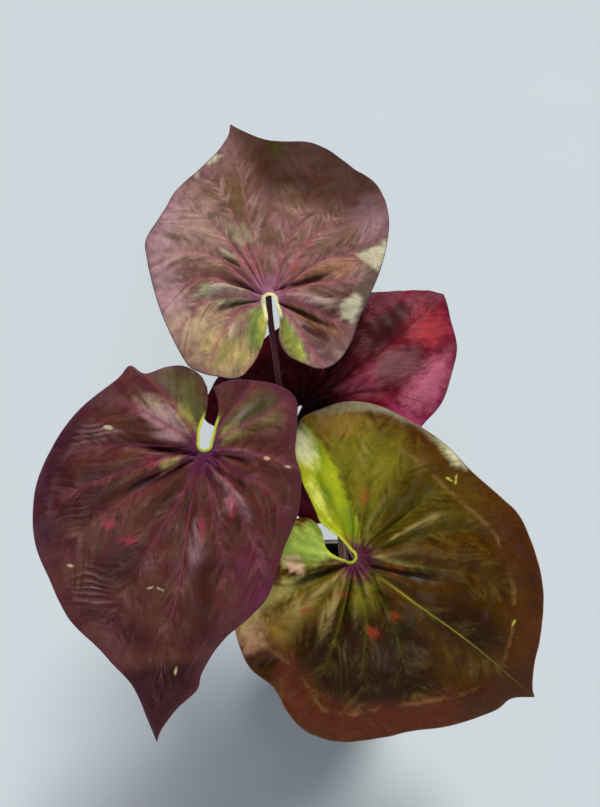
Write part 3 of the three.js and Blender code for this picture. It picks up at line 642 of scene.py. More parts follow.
# A wash is a colour that lies under the side veins and a patch one over them: its shade, how softly and how
# raggedly it ends in millimetres, its strength and its shapes, ovals (x, y, long, wide, turn) or outlines.
# The other colours are two of the ground; "stripe", the strokes along the side veins, with the strength of
# strokes and threads; the crease colour, painted shade in the fold valleys and dark strokes in the wrinkled
# zones; the crest colour, a painted highlight on the crests that also pales scattered cells as wax bloom;
# "between", the strips between veins, "seam", the collective vein, and "vein", each with its strength;
# "midrib"; "margin", with its strength and softness; "edge", the very rim; "junction", where the stalk
# meets the blade; "hem", the sinus edge, with its width and length; and "under", two of the lower face.
# "wax" is a specular level and the least and most roughness, and "mottle" how much the strokes darken and
# lighten all of it.
LEAF_COLOURS = {
    "top": {
        "ground": ("#906462", "#7b594b"), "stripe": ("#c8a79b", 0.3, 0.2), "deep": "#241009",
        "wax_bloom_and_highlight": "#cfb0a4", "between": ("#62532f", 0.5), "seam": ("#a98880", 0.3), "wax": (0.02, 0.34, 0.5),
        "mottle": 0.34, "vein": ("#a9606f", 0.6), "midrib": "#a56f69", "margin": ("#8a646b", 0.4, 14),
        "edge": "#4c4452", "junction": "#a0687f", "hem": ("#e6e3ad", 3.6, 14),
        "under": ("#8d7a74", "#a37f7f"),
        "washes": {
            "mauve": ("#c79ea4", 14, 22, 0.85,
                      [[(120, 62), (70, 96), (20, 92), (-20, 84), (-6, 68), (50, 74), (100, 56)]]),
            "olive": ("#6d5432", 8, 22, 0.75, [
                [(46, 54), (41, 29), (24, 12), (28, 33)], [(23, 50), (21, 24), (12, 12), (8, 30)],
                [(180, 4), (152, 1), (125, -9), (118, -29), (128, -40), (149, -24), (163, -10)],
                [(113, 31), (124, 9), (101, 0), (75, 7), (87, 26)],
                [(113, -32), (115, -62), (92, -69), (77, -39), (88, -29)]]),
            # Straw tone on the left lobe, paled further as painted light because that lobe faces the light.
            "straw": ("#d9bc8e", 14, 24, 0.75,
                      [[(0, 84), (-40, 70), (-58, 46), (-44, 26), (-14, 30), (0, 56)]]),
            "dun": ("#b39284", 12, 26, 0.6, [[(118, 50), (100, 30), (60, 28), (44, 40), (50, 74), (90, 64)]]),
            "sage": ("#9ca67a", 5, 16, 0.75, [[(7, 12), (13, 26), (22, 50), (14, 58), (4, 42), (1, 18)]]),
            "mahogany": ("#421d10", 9, 12, 0.85, [
                [(-6, -20), (2, -50), (4, -74), (-18, -66), (-40, -56), (-50, -38), (-30, -24)]]),
            "brown": ("#a4704f", 6, 16, 0.7, [
                [(13, -16), (24, -39), (31, -75), (25, -81), (10, -61), (8, -33)],
                [(-1, -12), (-9, -30), (-30, -56), (-42, -55), (-27, -35), (-13, -18)]]),
            # Painted highlight: a pale lilac sheen near the right rim.
            "lilac": ("#977582", 10, 18, 0.7, [[(97, -93), (88, -110), (63, -113), (45, -101), (54, -87)]]),
            "gold": ("#d8bd6c", 8, 26, 0.7,
                     [[(-27, 61), (-18, 42), (-33, 29), (-44, 18), (-56, 25), (-56, 41), (-46, 54)]]),
        },
        "patches": {
            # Painted shade: the upper right of the blade, which bends away from the light, is darkened to
            # deep maroon.
            "dusk": ("#3f1f14", 17, 10, 0.9,
                     [[(184, 6), (174, -50), (156, -92), (122, -122), (92, -122), (72, -88), (88, -50),
                       (106, -8)]]),
            "fern": ("#7f8848", 2, 12, 0.6, [
                (-40, 44, 16, 2, 128), (-48, 32, 12, 2, 145), (-28, 32, 12, 2, 120), (-12, 30, 10, 2, 110)]),
            "khaki": ("#a3a078", 4, 12, 0.55, [[(78, 22), (72, 12), (65, 2), (53, 4), (53, 16), (60, 22)]]),
            "wedge": ("#3c3714", 3, 8, 0.85,
                      [[(162, -24), (158, -38), (149, -40), (138, -33), (139, -26), (149, -23)]]),
            "green": ("#7f9a46", 4, 20, 0.8, [
                [(-4, 15), (0, 8), (-9, 3), (-26, 5), (-42, 13), (-38, 22), (-22, 21)],
                [(-16, -7), (-24, -14), (-42, -21), (-55, -20), (-49, -10), (-35, -4)]]),
            "lime": ("#b4b04e", 3, 14, 0.75,
                     [(-24, 9, 16, 3.5, 172), (-44, -13, 10, 4, 30), (-30, -8, 8, 2, 20)]),
            "moss": ("#5a5341", 4, 12, 0.75, [
                [(40, -80), (40, -100), (44, -112), (20, -102), (-4, -88), (-32, -72), (-34, -60), (-20, -58),
                 (0, -72), (20, -90)]]),
            "crimson": ("#a5444a", 1.5, 12, 0.65, [(27, -27, 7, 2, -45), (44, -41, 4, 1.5, 0)]),
            "cream": ("#c9c2a2", 3, 7, 0.88, [
                [(31, -80), (37, -94), (46, -110), (35, -108), (23, -102), (15, -94), (23, -86)],
                [(-17, -53), (-10, -61), (-4, -71), (-9, -75), (-20, -70), (-28, -63), (-22, -57)],
                [(142, 33), (151, 23), (148, 18), (143, 24), (141, 29)],
                (135, 42, 3.5, 2, 0), (48, 28, 4, 1.3, 50)]),
        },
    },
    "left": {
        "ground": ("#5d2826", "#643829"), "stripe": ("#9a6a66", 0.22, 0.3), "deep": "#1e0709",
        "wax_bloom_and_highlight": "#b38a92", "between": ("#41311b", 0.5), "seam": ("#8d5a62", 0.16), "wax": (0.13, 0.27, 0.4),
        "mottle": 0.2, "vein": ("#8a4153", 0.6), "midrib": "#92485a", "margin": ("#5e2b3c", 0.4, 16),
        "edge": "#5b3c54", "junction": "#5e2446", "hem": ("#d3d752", 2.7, 17),
        "under": ("#7b5f68", "#95707f"),
        "washes": {
            "umber": ("#3c0f0e", 12, 24, 0.85, [
                [(96, -66), (81, -41), (75, -20), (91, -24), (112, -42), (118, -58)],
                [(42, -96), (29, -64), (43, -54), (68, -75), (65, -94)],
                [(88, 9), (86, 23), (150, 33), (158, 18)], [(138, -58), (131, -39), (152, -14), (161, -19)]]),
            "olive": ("#5c6130", 9, 20, 0.88, [
                [(-46, -48), (-53, -33), (-52, -15), (-38, -7), (-21, -1), (-9, -8), (-22, -21), (-35, -35)],
                [(-12, 7), (-26, 13), (-40, 29), (-47, 44), (-41, 58), (-26, 52), (-13, 28), (-5, 12)]]),
            "walnut": ("#4e2618", 10, 20, 0.75, [
                [(-1, -104), (-18, -86), (-13, -64), (-5, -41), (2, -47), (3, -75)], (40, -10, 30, 14, 0)]),
            # Painted highlight: a pale greyish tan on the right lobe near the stalk, where the blade catches
            # the light.
            "tan": ("#b39c84", 7, 18, 0.8,
                    [[(-26, -52), (-25, -37), (-8, -17), (-1, -11), (-1, -21), (-12, -42)]]),
            "magenta": ("#6d2742", 14, 22, 0.8, [
                [(117, 46), (84, 63), (83, 89), (109, 89), (130, 71), (138, 54)],
                [(85, 34), (68, 58), (89, 64), (109, 48)]]),
            "plum": ("#652a42", 9, 20, 0.75, [
                [(37, -114), (14, -107), (-8, -95), (-12, -89), (20, -100), (57, -101), (85, -95), (100, -98),
                 (72, -109)], [(-30, 70), (-50, 66), (-54, 40), (-46, 52)]]),
            "dusk": ("#2a080d", 9, 18, 0.88,
                     [[(-6, -90), (20, -108), (52, -114), (92, -106), (84, -92), (48, -96), (16, -90)]]),
            "wine": ("#270201", 8, 16, 0.95,
                     [[(178, -31), (171, 2), (166, 27), (188, 28), (209, 13), (237, 6), (215, -5),
                       (194, -21)]]),
        },
        "patches": {
            "lime": ("#a9a552", 3.5, 14, 0.8, [
                [(-26, -27), (-25, -21), (-16, -12), (-9, -7), (-8, -12), (-16, -21)],
                [(-4, 10), (-13, 14), (-19, 23), (-12, 22), (-4, 14)],
                [(18, -30), (14, -19), (11, -11), (19, -18), (25, -26)]]),
            "crimson": ("#a83048", 2, 12, 0.65, [
                (18, -36, 2.5, 5, 0), (68, -57, 3, 5, 0), (78, -43, 2, 4, 0), (53, -8, 1.5, 2.5, 0),
                (62, 8, 5, 1.5, 0), (44, 27, 8, 4, 20)]),
            "blush": ("#d8a0a8", 1.5, 8, 0.6, [(44, 26, 4, 1.6, 20), (38, 24, 2, 1.5, 0)]),
            "fleck": ("#cdbc92", 0.5, 2, 0.9, [
                (-1, -70, 1.5, 3, 0), (4, 50, 1.5, 2.5, 0), (8, 69, 1, 3, 0), (112, -21, 1, 2.5, 20),
                (112, -13, 1, 2.5, -20), (102, -79, 1, 2.5, 0), (176, 10, 3, 1, 0)]),
        },
    },
    "low": {
        "ground": ("#462700", "#503200"), "stripe": ("#967c3a", 0.16, 0.15), "deep": "#120f01",
        "wax_bloom_and_highlight": "#bda762", "between": ("#3c3204", 0.32), "seam": ("#a07440", 0.4), "wax": (0.11, 0.28, 0.42),
        "mottle": 0.22, "vein": ("#6c6c1c", 0.36), "midrib": "#a1983a", "margin": ("#6a381a", 0.3, 12),
        "edge": "#7b5849", "junction": "#5e1f3d", "hem": ("#bcc63c", 2.8, 30),
        "under": ("#8b8a60", "#9a936c"),
        "washes": {
            "grass": ("#7f7a1e", 12, 30, 0.85, [
                [(-96, 74), (-78, 93), (-52, 99), (-19, 110), (0, 100), (-2, 70), (2, 34), (3, 17), (-16, 28),
                 (-34, 40), (-64, 59)], [(12, -15), (24, -5), (36, -22), (32, -38), (20, -32)]]),
            "khaki": ("#524503", 12, 28, 0.8, [
                [(0, 100), (24, 106), (60, 104), (80, 86), (60, 60), (30, 36), (10, 20), (0, 50)]]),
            "ochre": ("#a68231", 9, 24, 0.8, [
                [(-20, -76), (-20, -46), (-5, -22), (5, -11), (5, -39), (-2, -74), (-14, -103), (-40, -84)],
                [(-72, 37), (-46, 43), (-15, 25), (0, 16), (-10, 19), (-45, 25)], (-70, 84, 20, 12, 40)]),
            "umber": ("#240900", 12, 26, 0.84, [
                [(-8, -81), (20, -38), (83, -22), (126, -54), (83, -92), (37, -110)], (110, 4, 34, 18, 0)]),
            "rust": ("#331103", 9, 22, 0.8, [
                [(126, -54), (157, -24), (166, 10), (150, 40), (119, 70), (90, 88), (110, 100), (156, 54),
                 (192, -15), (150, -71)]]),
            "brick": ("#622317", 9, 22, 0.8, [
                [(-52, -104), (-31, -92), (7, -96), (38, -110), (64, -106), (97, -84), (130, -50), (152, -70),
                 (102, -118), (66, -139), (29, -142), (-10, -126)]]),
            # Painted highlight: pale salmon on the right lobe near its rim, where the rim catches the light.
            "salmon": ("#f4bd8a", 9, 18, 0.9,
                       [[(-60, -80), (-46, -70), (-22, -104), (-31, -118), (-50, -104)]]),
        },
        "patches": {
            "lobe": ("#adc452", 5, 16, 0.9, [
                [(-46, -3), (-39, 10), (-21, 6), (-8, -1), (-14, -9), (-29, -31), (-42, -36), (-60, -30),
                 (-60, -6)]]),
            "lime": ("#a9b41d", 3, 9, 0.92, [
                [(-92, 62), (-88, 72), (-67, 64), (-50, 55), (-29, 41), (-8, 26), (2, 13), (-7, 9), (-29, 9),
                 (-53, 20), (-77, 36)]]),
            "leaf_green": ("#74951a", 3, 16, 0.7, [
                (-14, 22, 16, 5, 140), (-44, 34, 12, 4, 150), (-66, 58, 10, 3, 140)]),
            "butter": ("#dfe06a", 4, 12, 0.8, [(-74, 52, 12, 7, 150), (-46, 26, 12, 4, 150)]),
            # A grey-olive strip along the left rim, its paleness partly a painted highlight where the rim
            # curls up to the light.
            "moss": ("#8f8a68", 3, 8, 0.7, [
                [(-96, 80), (-70, 109), (-48, 122), (-10, 128), (22, 124), (44, 118), (44, 110), (20, 114),
                 (-12, 120), (-40, 114), (-62, 102), (-84, 84)]]),
            # Painted shade: near-black olive in three shaded places on the right half.
            "shade": ("#211c04", 9, 14, 0.6, [
                [(-26, -122), (-20, -110), (-2, -114), (4, -128), (-5, -134), (-18, -130)],
                [(-41, -47), (-10, -21), (-3, -25), (-20, -46), (-35, -59)], (66, -20, 14, 4, 105)]),
            "crimson": ("#a83a22", 2, 14, 0.65, [
                (-7, -56, 3, 4, 0), (12, -28, 4, 2.5, 0), (48, -42, 5, 3, 0), (55, -22, 4, 3, 0),
                (-14, 47, 7, 2.5, 110), (33, 10, 6, 2, 20), (-9, 10, 4, 2, 0)]),
            # Pale pink, lightened further as a painted highlight by the edge of the left blade.
            "pink": ("#f0bca4", 4, 16, 0.8, [
                [(-44, -33), (-41, -27), (-30, -25), (-25, -32), (-35, -37)]]),
            # The first cream shape is a painted highlight on the top of the upturned flap; the second is a
            # cream patch on the left rim.
            "cream": ("#f4f0b8", 6, 12, 0.85, [
                [(-94, 60), (-90, 68), (-76, 62), (-68, 54), (-70, 46), (-80, 44), (-88, 50)],
                [(12, 122), (22, 121), (34, 118), (42, 115), (34, 110), (22, 114)]]),
            # Painted highlight: a pale yellow band on the right lobe beside the edge of the left blade.
            "lemon": ("#cdbf68", 5, 14, 0.6, [
                [(-12, -24), (-21, -43), (-29, -62), (-36, -80), (-41, -102), (-51, -99), (-47, -73),
                 (-34, -46)]]),
            "fleck": ("#b9b94e", 0.4, 2, 0.9, [(41, 99, 1, 4, 20), (36, 96, 3, 1, 0), (142, 25, 1, 3, 0)]),
        },
    },
    "back": {
        "ground": ("#78142b", "#670c21"), "stripe": ("#a84a55", 0.4, 0.1), "deep": "#160206",
        "wax_bloom_and_highlight": "#9a4a60", "between": ("#4d2a28", 0.4), "seam": ("#a04a58", 0.15), "wax": (0.07, 0.34, 0.5),
        "mottle": 0.22, "vein": ("#390a17", 0.55), "midrib": "#34101a", "margin": ("#7c2040", 0.4, 12),
        "edge": "#46414f", "junction": "#1a050b", "hem": ("#5a3a2a", 2.0, 10),
        "under": ("#7d4b52", "#8d5a62"),
        "washes": {
            # Painted shade: near-black red over the upper left and both lobes, where the blade lies in the
            # others' shade.
            "night": ("#2c0406", 16, 24, 0.94, [
                [(146, 30), (120, 62), (80, 70), (70, 40), (96, 26), (124, 24)],
                [(123, 42), (88, 46), (38, 60), (-40, 76), (-70, 60), (-60, -70), (0, -60), (34, -22),
                 (60, -6), (110, 14)]]),
            "scarlet": ("#b0393f", 10, 24, 0.85,
                        [[(128, -11), (143, -7), (167, -18), (157, -35), (136, -37), (121, -21)]]),
            "magenta": ("#b43c72", 8, 18, 0.8,
                        [[(62, -51), (66, -60), (73, -71), (72, -88), (60, -88), (56, -63)]]),
            # Painted highlight: a pink sheen on the right half, where the light grazes the blade.
            "rose": ("#d07090", 10, 22, 0.8,
                     [[(74, -57), (93, -48), (117, -48), (135, -51), (120, -70), (91, -78), (71, -70)]]),
        },
        "patches": {
            "bronze": ("#30160f", 8, 22, 0.85,
                       [[(83, 1), (107, 19), (142, 16), (141, 4), (123, -6), (98, -7), (77, -5)]]),
            "grey": ("#6e4a4c", 8, 22, 0.7,
                     [[(73, -20), (98, -15), (123, -29), (109, -46), (82, -44), (68, -32)]]),
        },
    },
}


def blend(a, b, share):
    return a + (b - a) * share


def eased(values, start, full):
    """How far the values are from start to full, from 0 to 1, with a soft start and end."""
    share = np.clip((values - start) / (full - start), 0, 1)
    return share * share * (3 - 2 * share)


def bump(distance, width):
    """A soft hump, 1 in its middle and nearly 0 at twice its width."""
    return np.exp(-(distance / width) ** 2)


def uneven(x, y, size, seed):
    """A smooth random pattern, mostly from -1 to 1, whose lumps are about that many millimetres across."""
    draw = np.random.default_rng(seed)
    total = 0
    for _ in range(8):
        way, lag = draw.uniform(0, 2 * math.pi, 2)
        length = 2 * size * draw.uniform(0.7, 1.6)
        total = total + np.sin(2 * math.pi * (x * math.cos(way) + y * math.sin(way)) / length + lag)
    return total / 2.8


def blade_grid(blade):
    """The blade's flat places, column by column, and how far each is from veins and edges. A column runs from
    the sinus's round to the rim, and one lies along each vein."""
    v = (np.arange(RINGS + 1) / RINGS)[:, None] ** 1.15
    columns = {key: [] for key in ("place", "vein", "midrib", "puff", "rim_share", "sweep", "gap")}
    sinus_round = blade.get("sinus_round", SINUS_ROUND)
    for side, word in ((-1, "right"), (1, "left")):
        sinus_points, puffs, veins = (blade[f"{word}_{part}"] for part in ("sinus", "puffs", "veins"))
        rim = smooth_line([sinus_points[-1], *blade[word + "_rim"], blade["tip"]])
        shares = [0] + [share for share, *_ in veins] + [1]
        turns = np.linspace(0, math.radians(SINUS_TURN), len(shares)) * side
        starts = sinus_round * np.stack([np.cos(turns), np.sin(turns)], -1)
        middles = [blade["midrib"]] + [points for _, *points in veins]
        lines = [smooth_line([start, *points, rim(1 - share)])(v[:, 0])
                 for start, points, share in zip(starts, middles, shares)]
        lines.append(smooth_line([starts[-1], *sinus_points])(v[:, 0]))
        half = []
        for k in range(len(lines) - 1):
            rim_places = rim(1 - np.linspace(shares[k], shares[k + 1], 60))
            rim_run = np.linalg.norm(np.diff(rim_places, axis=0), axis=1).sum()
            steps = max(12, round(rim_run / RIM_SPACING))
            last_cell = k == len(lines) - 2
            for i in range(steps + last_cell):
                t = i / steps
                angle = blend(turns[k], turns[k + 1], t)
                start = sinus_round * np.array([math.cos(angle), math.sin(angle)])
                share = blend(shares[k], shares[k + 1], t)
                place = (blend(lines[k], lines[k + 1], t)
                         + (1 - v) * (start - blend(starts[k], starts[k + 1], t))
                         + v * (rim(1 - share) - blend(lines[k][-1], lines[k + 1][-1], t)))
                near = np.linalg.norm(place - lines[k], axis=1)
                far = np.linalg.norm(place - lines[k + 1], axis=1)
                vein = near if last_cell else np.minimum(near, far)
                gap = 2 * vein / (near + far + 1e-6)
                half.append({
                    "place": place,
                    "vein": vein,
                    "midrib": near if k == 0 else np.full(RINGS + 1, 99.0),
                    "puff": np.full(RINGS + 1, puffs[k] * math.sin(math.pi * t) ** 1.4),
                    "rim_share": np.full(RINGS + 1, side * share),
                    "sweep": vein * (1 + 0.2 * gap ** 2),
                    "gap": gap,
                })
        if side < 0:
            half = half[:0:-1]
        for key in columns:
            columns[key] += [column[key] for column in half]
    grid = {key: np.array(values) for key, values in columns.items()}
    place = grid["place"]
    grid["v"] = np.broadcast_to(v[:, 0], grid["vein"].shape)
    grid["reach"] = np.hypot(place[..., 0], place[..., 1])
    grid["centre"] = np.hypot(place[..., 0] - JUNCTION_AHEAD, place[..., 1])
    outline = np.vstack([place[0], place[:, -1], place[-1, ::-1]])
    sinus = np.vstack([place[0], place[:, 0], place[-1]])
    for key, edge in (("rim", place[:, -1]), ("hem", sinus), ("left_hem", place[-1]), ("edge", outline)):
        grid[key] = np.array([np.linalg.norm(column[:, None] - edge, axis=2).min(axis=1) for column in place])
    return grid


def fold_heights(x, y, folds):
    """How far the folds lift or sink the blade. Each is narrow at the stalk and dies out at its end."""
    heights = np.zeros_like(x)
    for height, width, points in folds:
        line = smooth_line(points)(np.linspace(0, 1, FOLD_POINTS))
        low, high = line.min(0) - 3 * width, line.max(0) + 3 * width
        close = (x > low[0]) & (x < high[0]) & (y > low[1]) & (y < high[1])
        off = np.hypot(x[close][:, None] - line[:, 0], y[close][:, None] - line[:, 1])
        share = off.argmin(axis=1) / (FOLD_POINTS - 1)
        spread = width * (0.34 + 0.66 * np.minimum(1, share / 0.45))
        sharpness = 1.25 if height < 0 else 1.6
        lift = FOLD_LIFT * height * (0.8 + 0.2 * eased(share, 0, 0.25)) * eased(share, 1, 0.35)
        heights[close] += lift * np.exp(-(off.min(axis=1) / spread) ** sharpness)
    return heights


def shape_mask(x, y, shapes):
    """How many millimetres each place is inside the nearest of the shapes, and below 0 outside them."""
    mask = np.full_like(x, -60)
    for shape in shapes:
        if isinstance(shape, tuple):
            cx, cy, long, wide, turn = shape
            c, s = math.cos(math.radians(turn)), math.sin(math.radians(turn))
            u, w = (x - cx) * c + (y - cy) * s, (y - cy) * c - (x - cx) * s
            inside = (1 - np.hypot(u / long, w / wide)) * min(long, wide)
        else:
            off, crossings = np.full_like(x, np.inf), np.zeros_like(x, int)
            for (ax, ay), (bx, by) in zip(shape, shape[1:] + shape[:1]):
                run, rise = bx - ax, by - ay
                share = np.clip(((x - ax) * run + (y - ay) * rise) / (run ** 2 + rise ** 2), 0, 1)
                off = np.minimum(off, np.hypot(x - blend(ax, bx, share), y - blend(ay, by, share)))
                if rise:
                    crossings += ((ay > y) != (by > y)) & (x < blend(ax, bx, (y - ay) / rise))
            inside = np.where(crossings % 2, off, -off)
        mask = np.maximum(mask, inside)
    return mask


def blade_relief(blade, grid):
    """Adds the heights of the upper and lower face, in millimetres over the leaf's own plane, and how
    strongly each place is folded, wrinkled and crossed by side veins."""
    x, y, seed, droop = grid["place"][..., 0], grid["place"][..., 1], blade["seed"], blade["droop"]
    v, reach, vein = grid["v"], grid["reach"], grid["vein"]
    along = np.where(x > 0, droop["tip"], droop["lobes"]) * (x / 100) ** 2
    across = np.where(y > 0, droop["left"], droop["right"]) * (y / 100) ** 2
    near = reach / PLEAT_PEAK
    pleat = PLEAT_HEIGHT * near ** 2 * np.exp(2 - 2 * near) * eased(reach, 6, 20)
    puff = grid["puff"] * (PUFF_PLEATS * pleat + PUFF_HEIGHT * np.clip(reach / 60, 0, 1) * (1 - v))
    folds = fold_heights(x, y, blade["folds"])
    wave = MARGIN_WAVE * v ** 4 * np.sin(2 * math.pi * MARGIN_WAVES * grid["rim_share"] + seed)
    swell = SWELL_HEIGHT * uneven(x, y, 28, seed) + DENT_HEIGHT * uneven(x, y, 9, seed + 50)
    swell = swell * np.clip(reach / 50, 0, 1)
    fan = np.arctan2(y, x) * 42
    crumple = (uneven(fan, reach * 0.22, 6, seed + 250) * eased(reach, 8, 34)
               * (0.35 + 0.5 * eased(abs(fan), 30, 80)))

    phase = reach - SIDE_VEIN_SWEEP * grid["sweep"] + 0.9 * uneven(x, y, 13, seed + 100)
    wrinkles = 0
    for cx, cy, r, height, turn in blade["ripples"]:
        zone = height * np.exp(-((x - cx) ** 2 + (y - cy) ** 2) / r ** 2)
        over = x * math.cos(math.radians(turn)) + y * math.sin(math.radians(turn))
        over = over + 1.5 * uneven(x, y, 12, seed + r)
        wrinkles = wrinkles + zone * np.sin(2 * math.pi * over / WRINKLE_SPACING)
    collective = blade["collective"]
    inside = eased(grid["rim"], collective - 7, collective + 5) * eased(reach, 14, 40)
    patchy = eased(uneven(x, y, 13, seed + 150), -0.7, 0.9)
    calm = 1 - 0.92 * grid["gap"] ** 3
    furrows = np.sin(2 * math.pi * phase / SIDE_VEIN_SPACING) + 0.5 * uneven(x, y, 3.2, seed + 200)
    ripple = SIDE_VEIN_HEIGHT * furrows * calm * patchy * inside + wrinkles * eased(grid["rim"], 3, 12)
    ripple = ripple * np.clip(vein / 3, 0, 1)

    hem = HEM_BEAD * bump(grid["hem"], HEM_BEAD_WIDTH) * eased(reach, 60, 6)
    flap = 0
    if "flap" in blade:
        width, lift = (np.interp(reach, blade["flap"]["reach"], blade["flap"][part])
                       for part in ("width", "lift"))
        flap = lift * np.clip(1 - grid["left_hem"] / width, 0, 1) ** 1.4
        flap = flap - FLAP_CREASE * eased(reach, 8, 30) * bump(grid["left_hem"] - width, 2)
    middle = puff + folds + wave + swell + crumple + ripple + hem + flap - along - across

    fade = (1 - 0.8 * v) * eased(reach, 6, 18)
    half = blend(EDGE_HALF_THICKNESS, BLADE_HALF_THICKNESS, np.clip(grid["edge"] / EDGE_THINS_OVER, 0, 1))
    groove = VEIN_GROOVE * bump(vein, VEIN_WIDTH) * fade
    keel = KEEL_HEIGHT * (1 + 0.6 * bump(grid["midrib"], 3)) * bump(vein, KEEL_WIDTH) * fade
    grid["upper"] = middle + half - groove
    grid["lower"] = middle - half - keel
    grid["phase"] = phase
    grid["furrow"] = 0.32 * (0.35 + 0.65 * inside) * (0.35 + 0.65 * patchy) * calm
    puffed = puff - 0.5 * pleat * np.clip(grid["puff"] * 3, 0, 1)
    grid["fold"] = folds + 1.2 * crumple + 4.5 * ripple + 0.6 * puffed


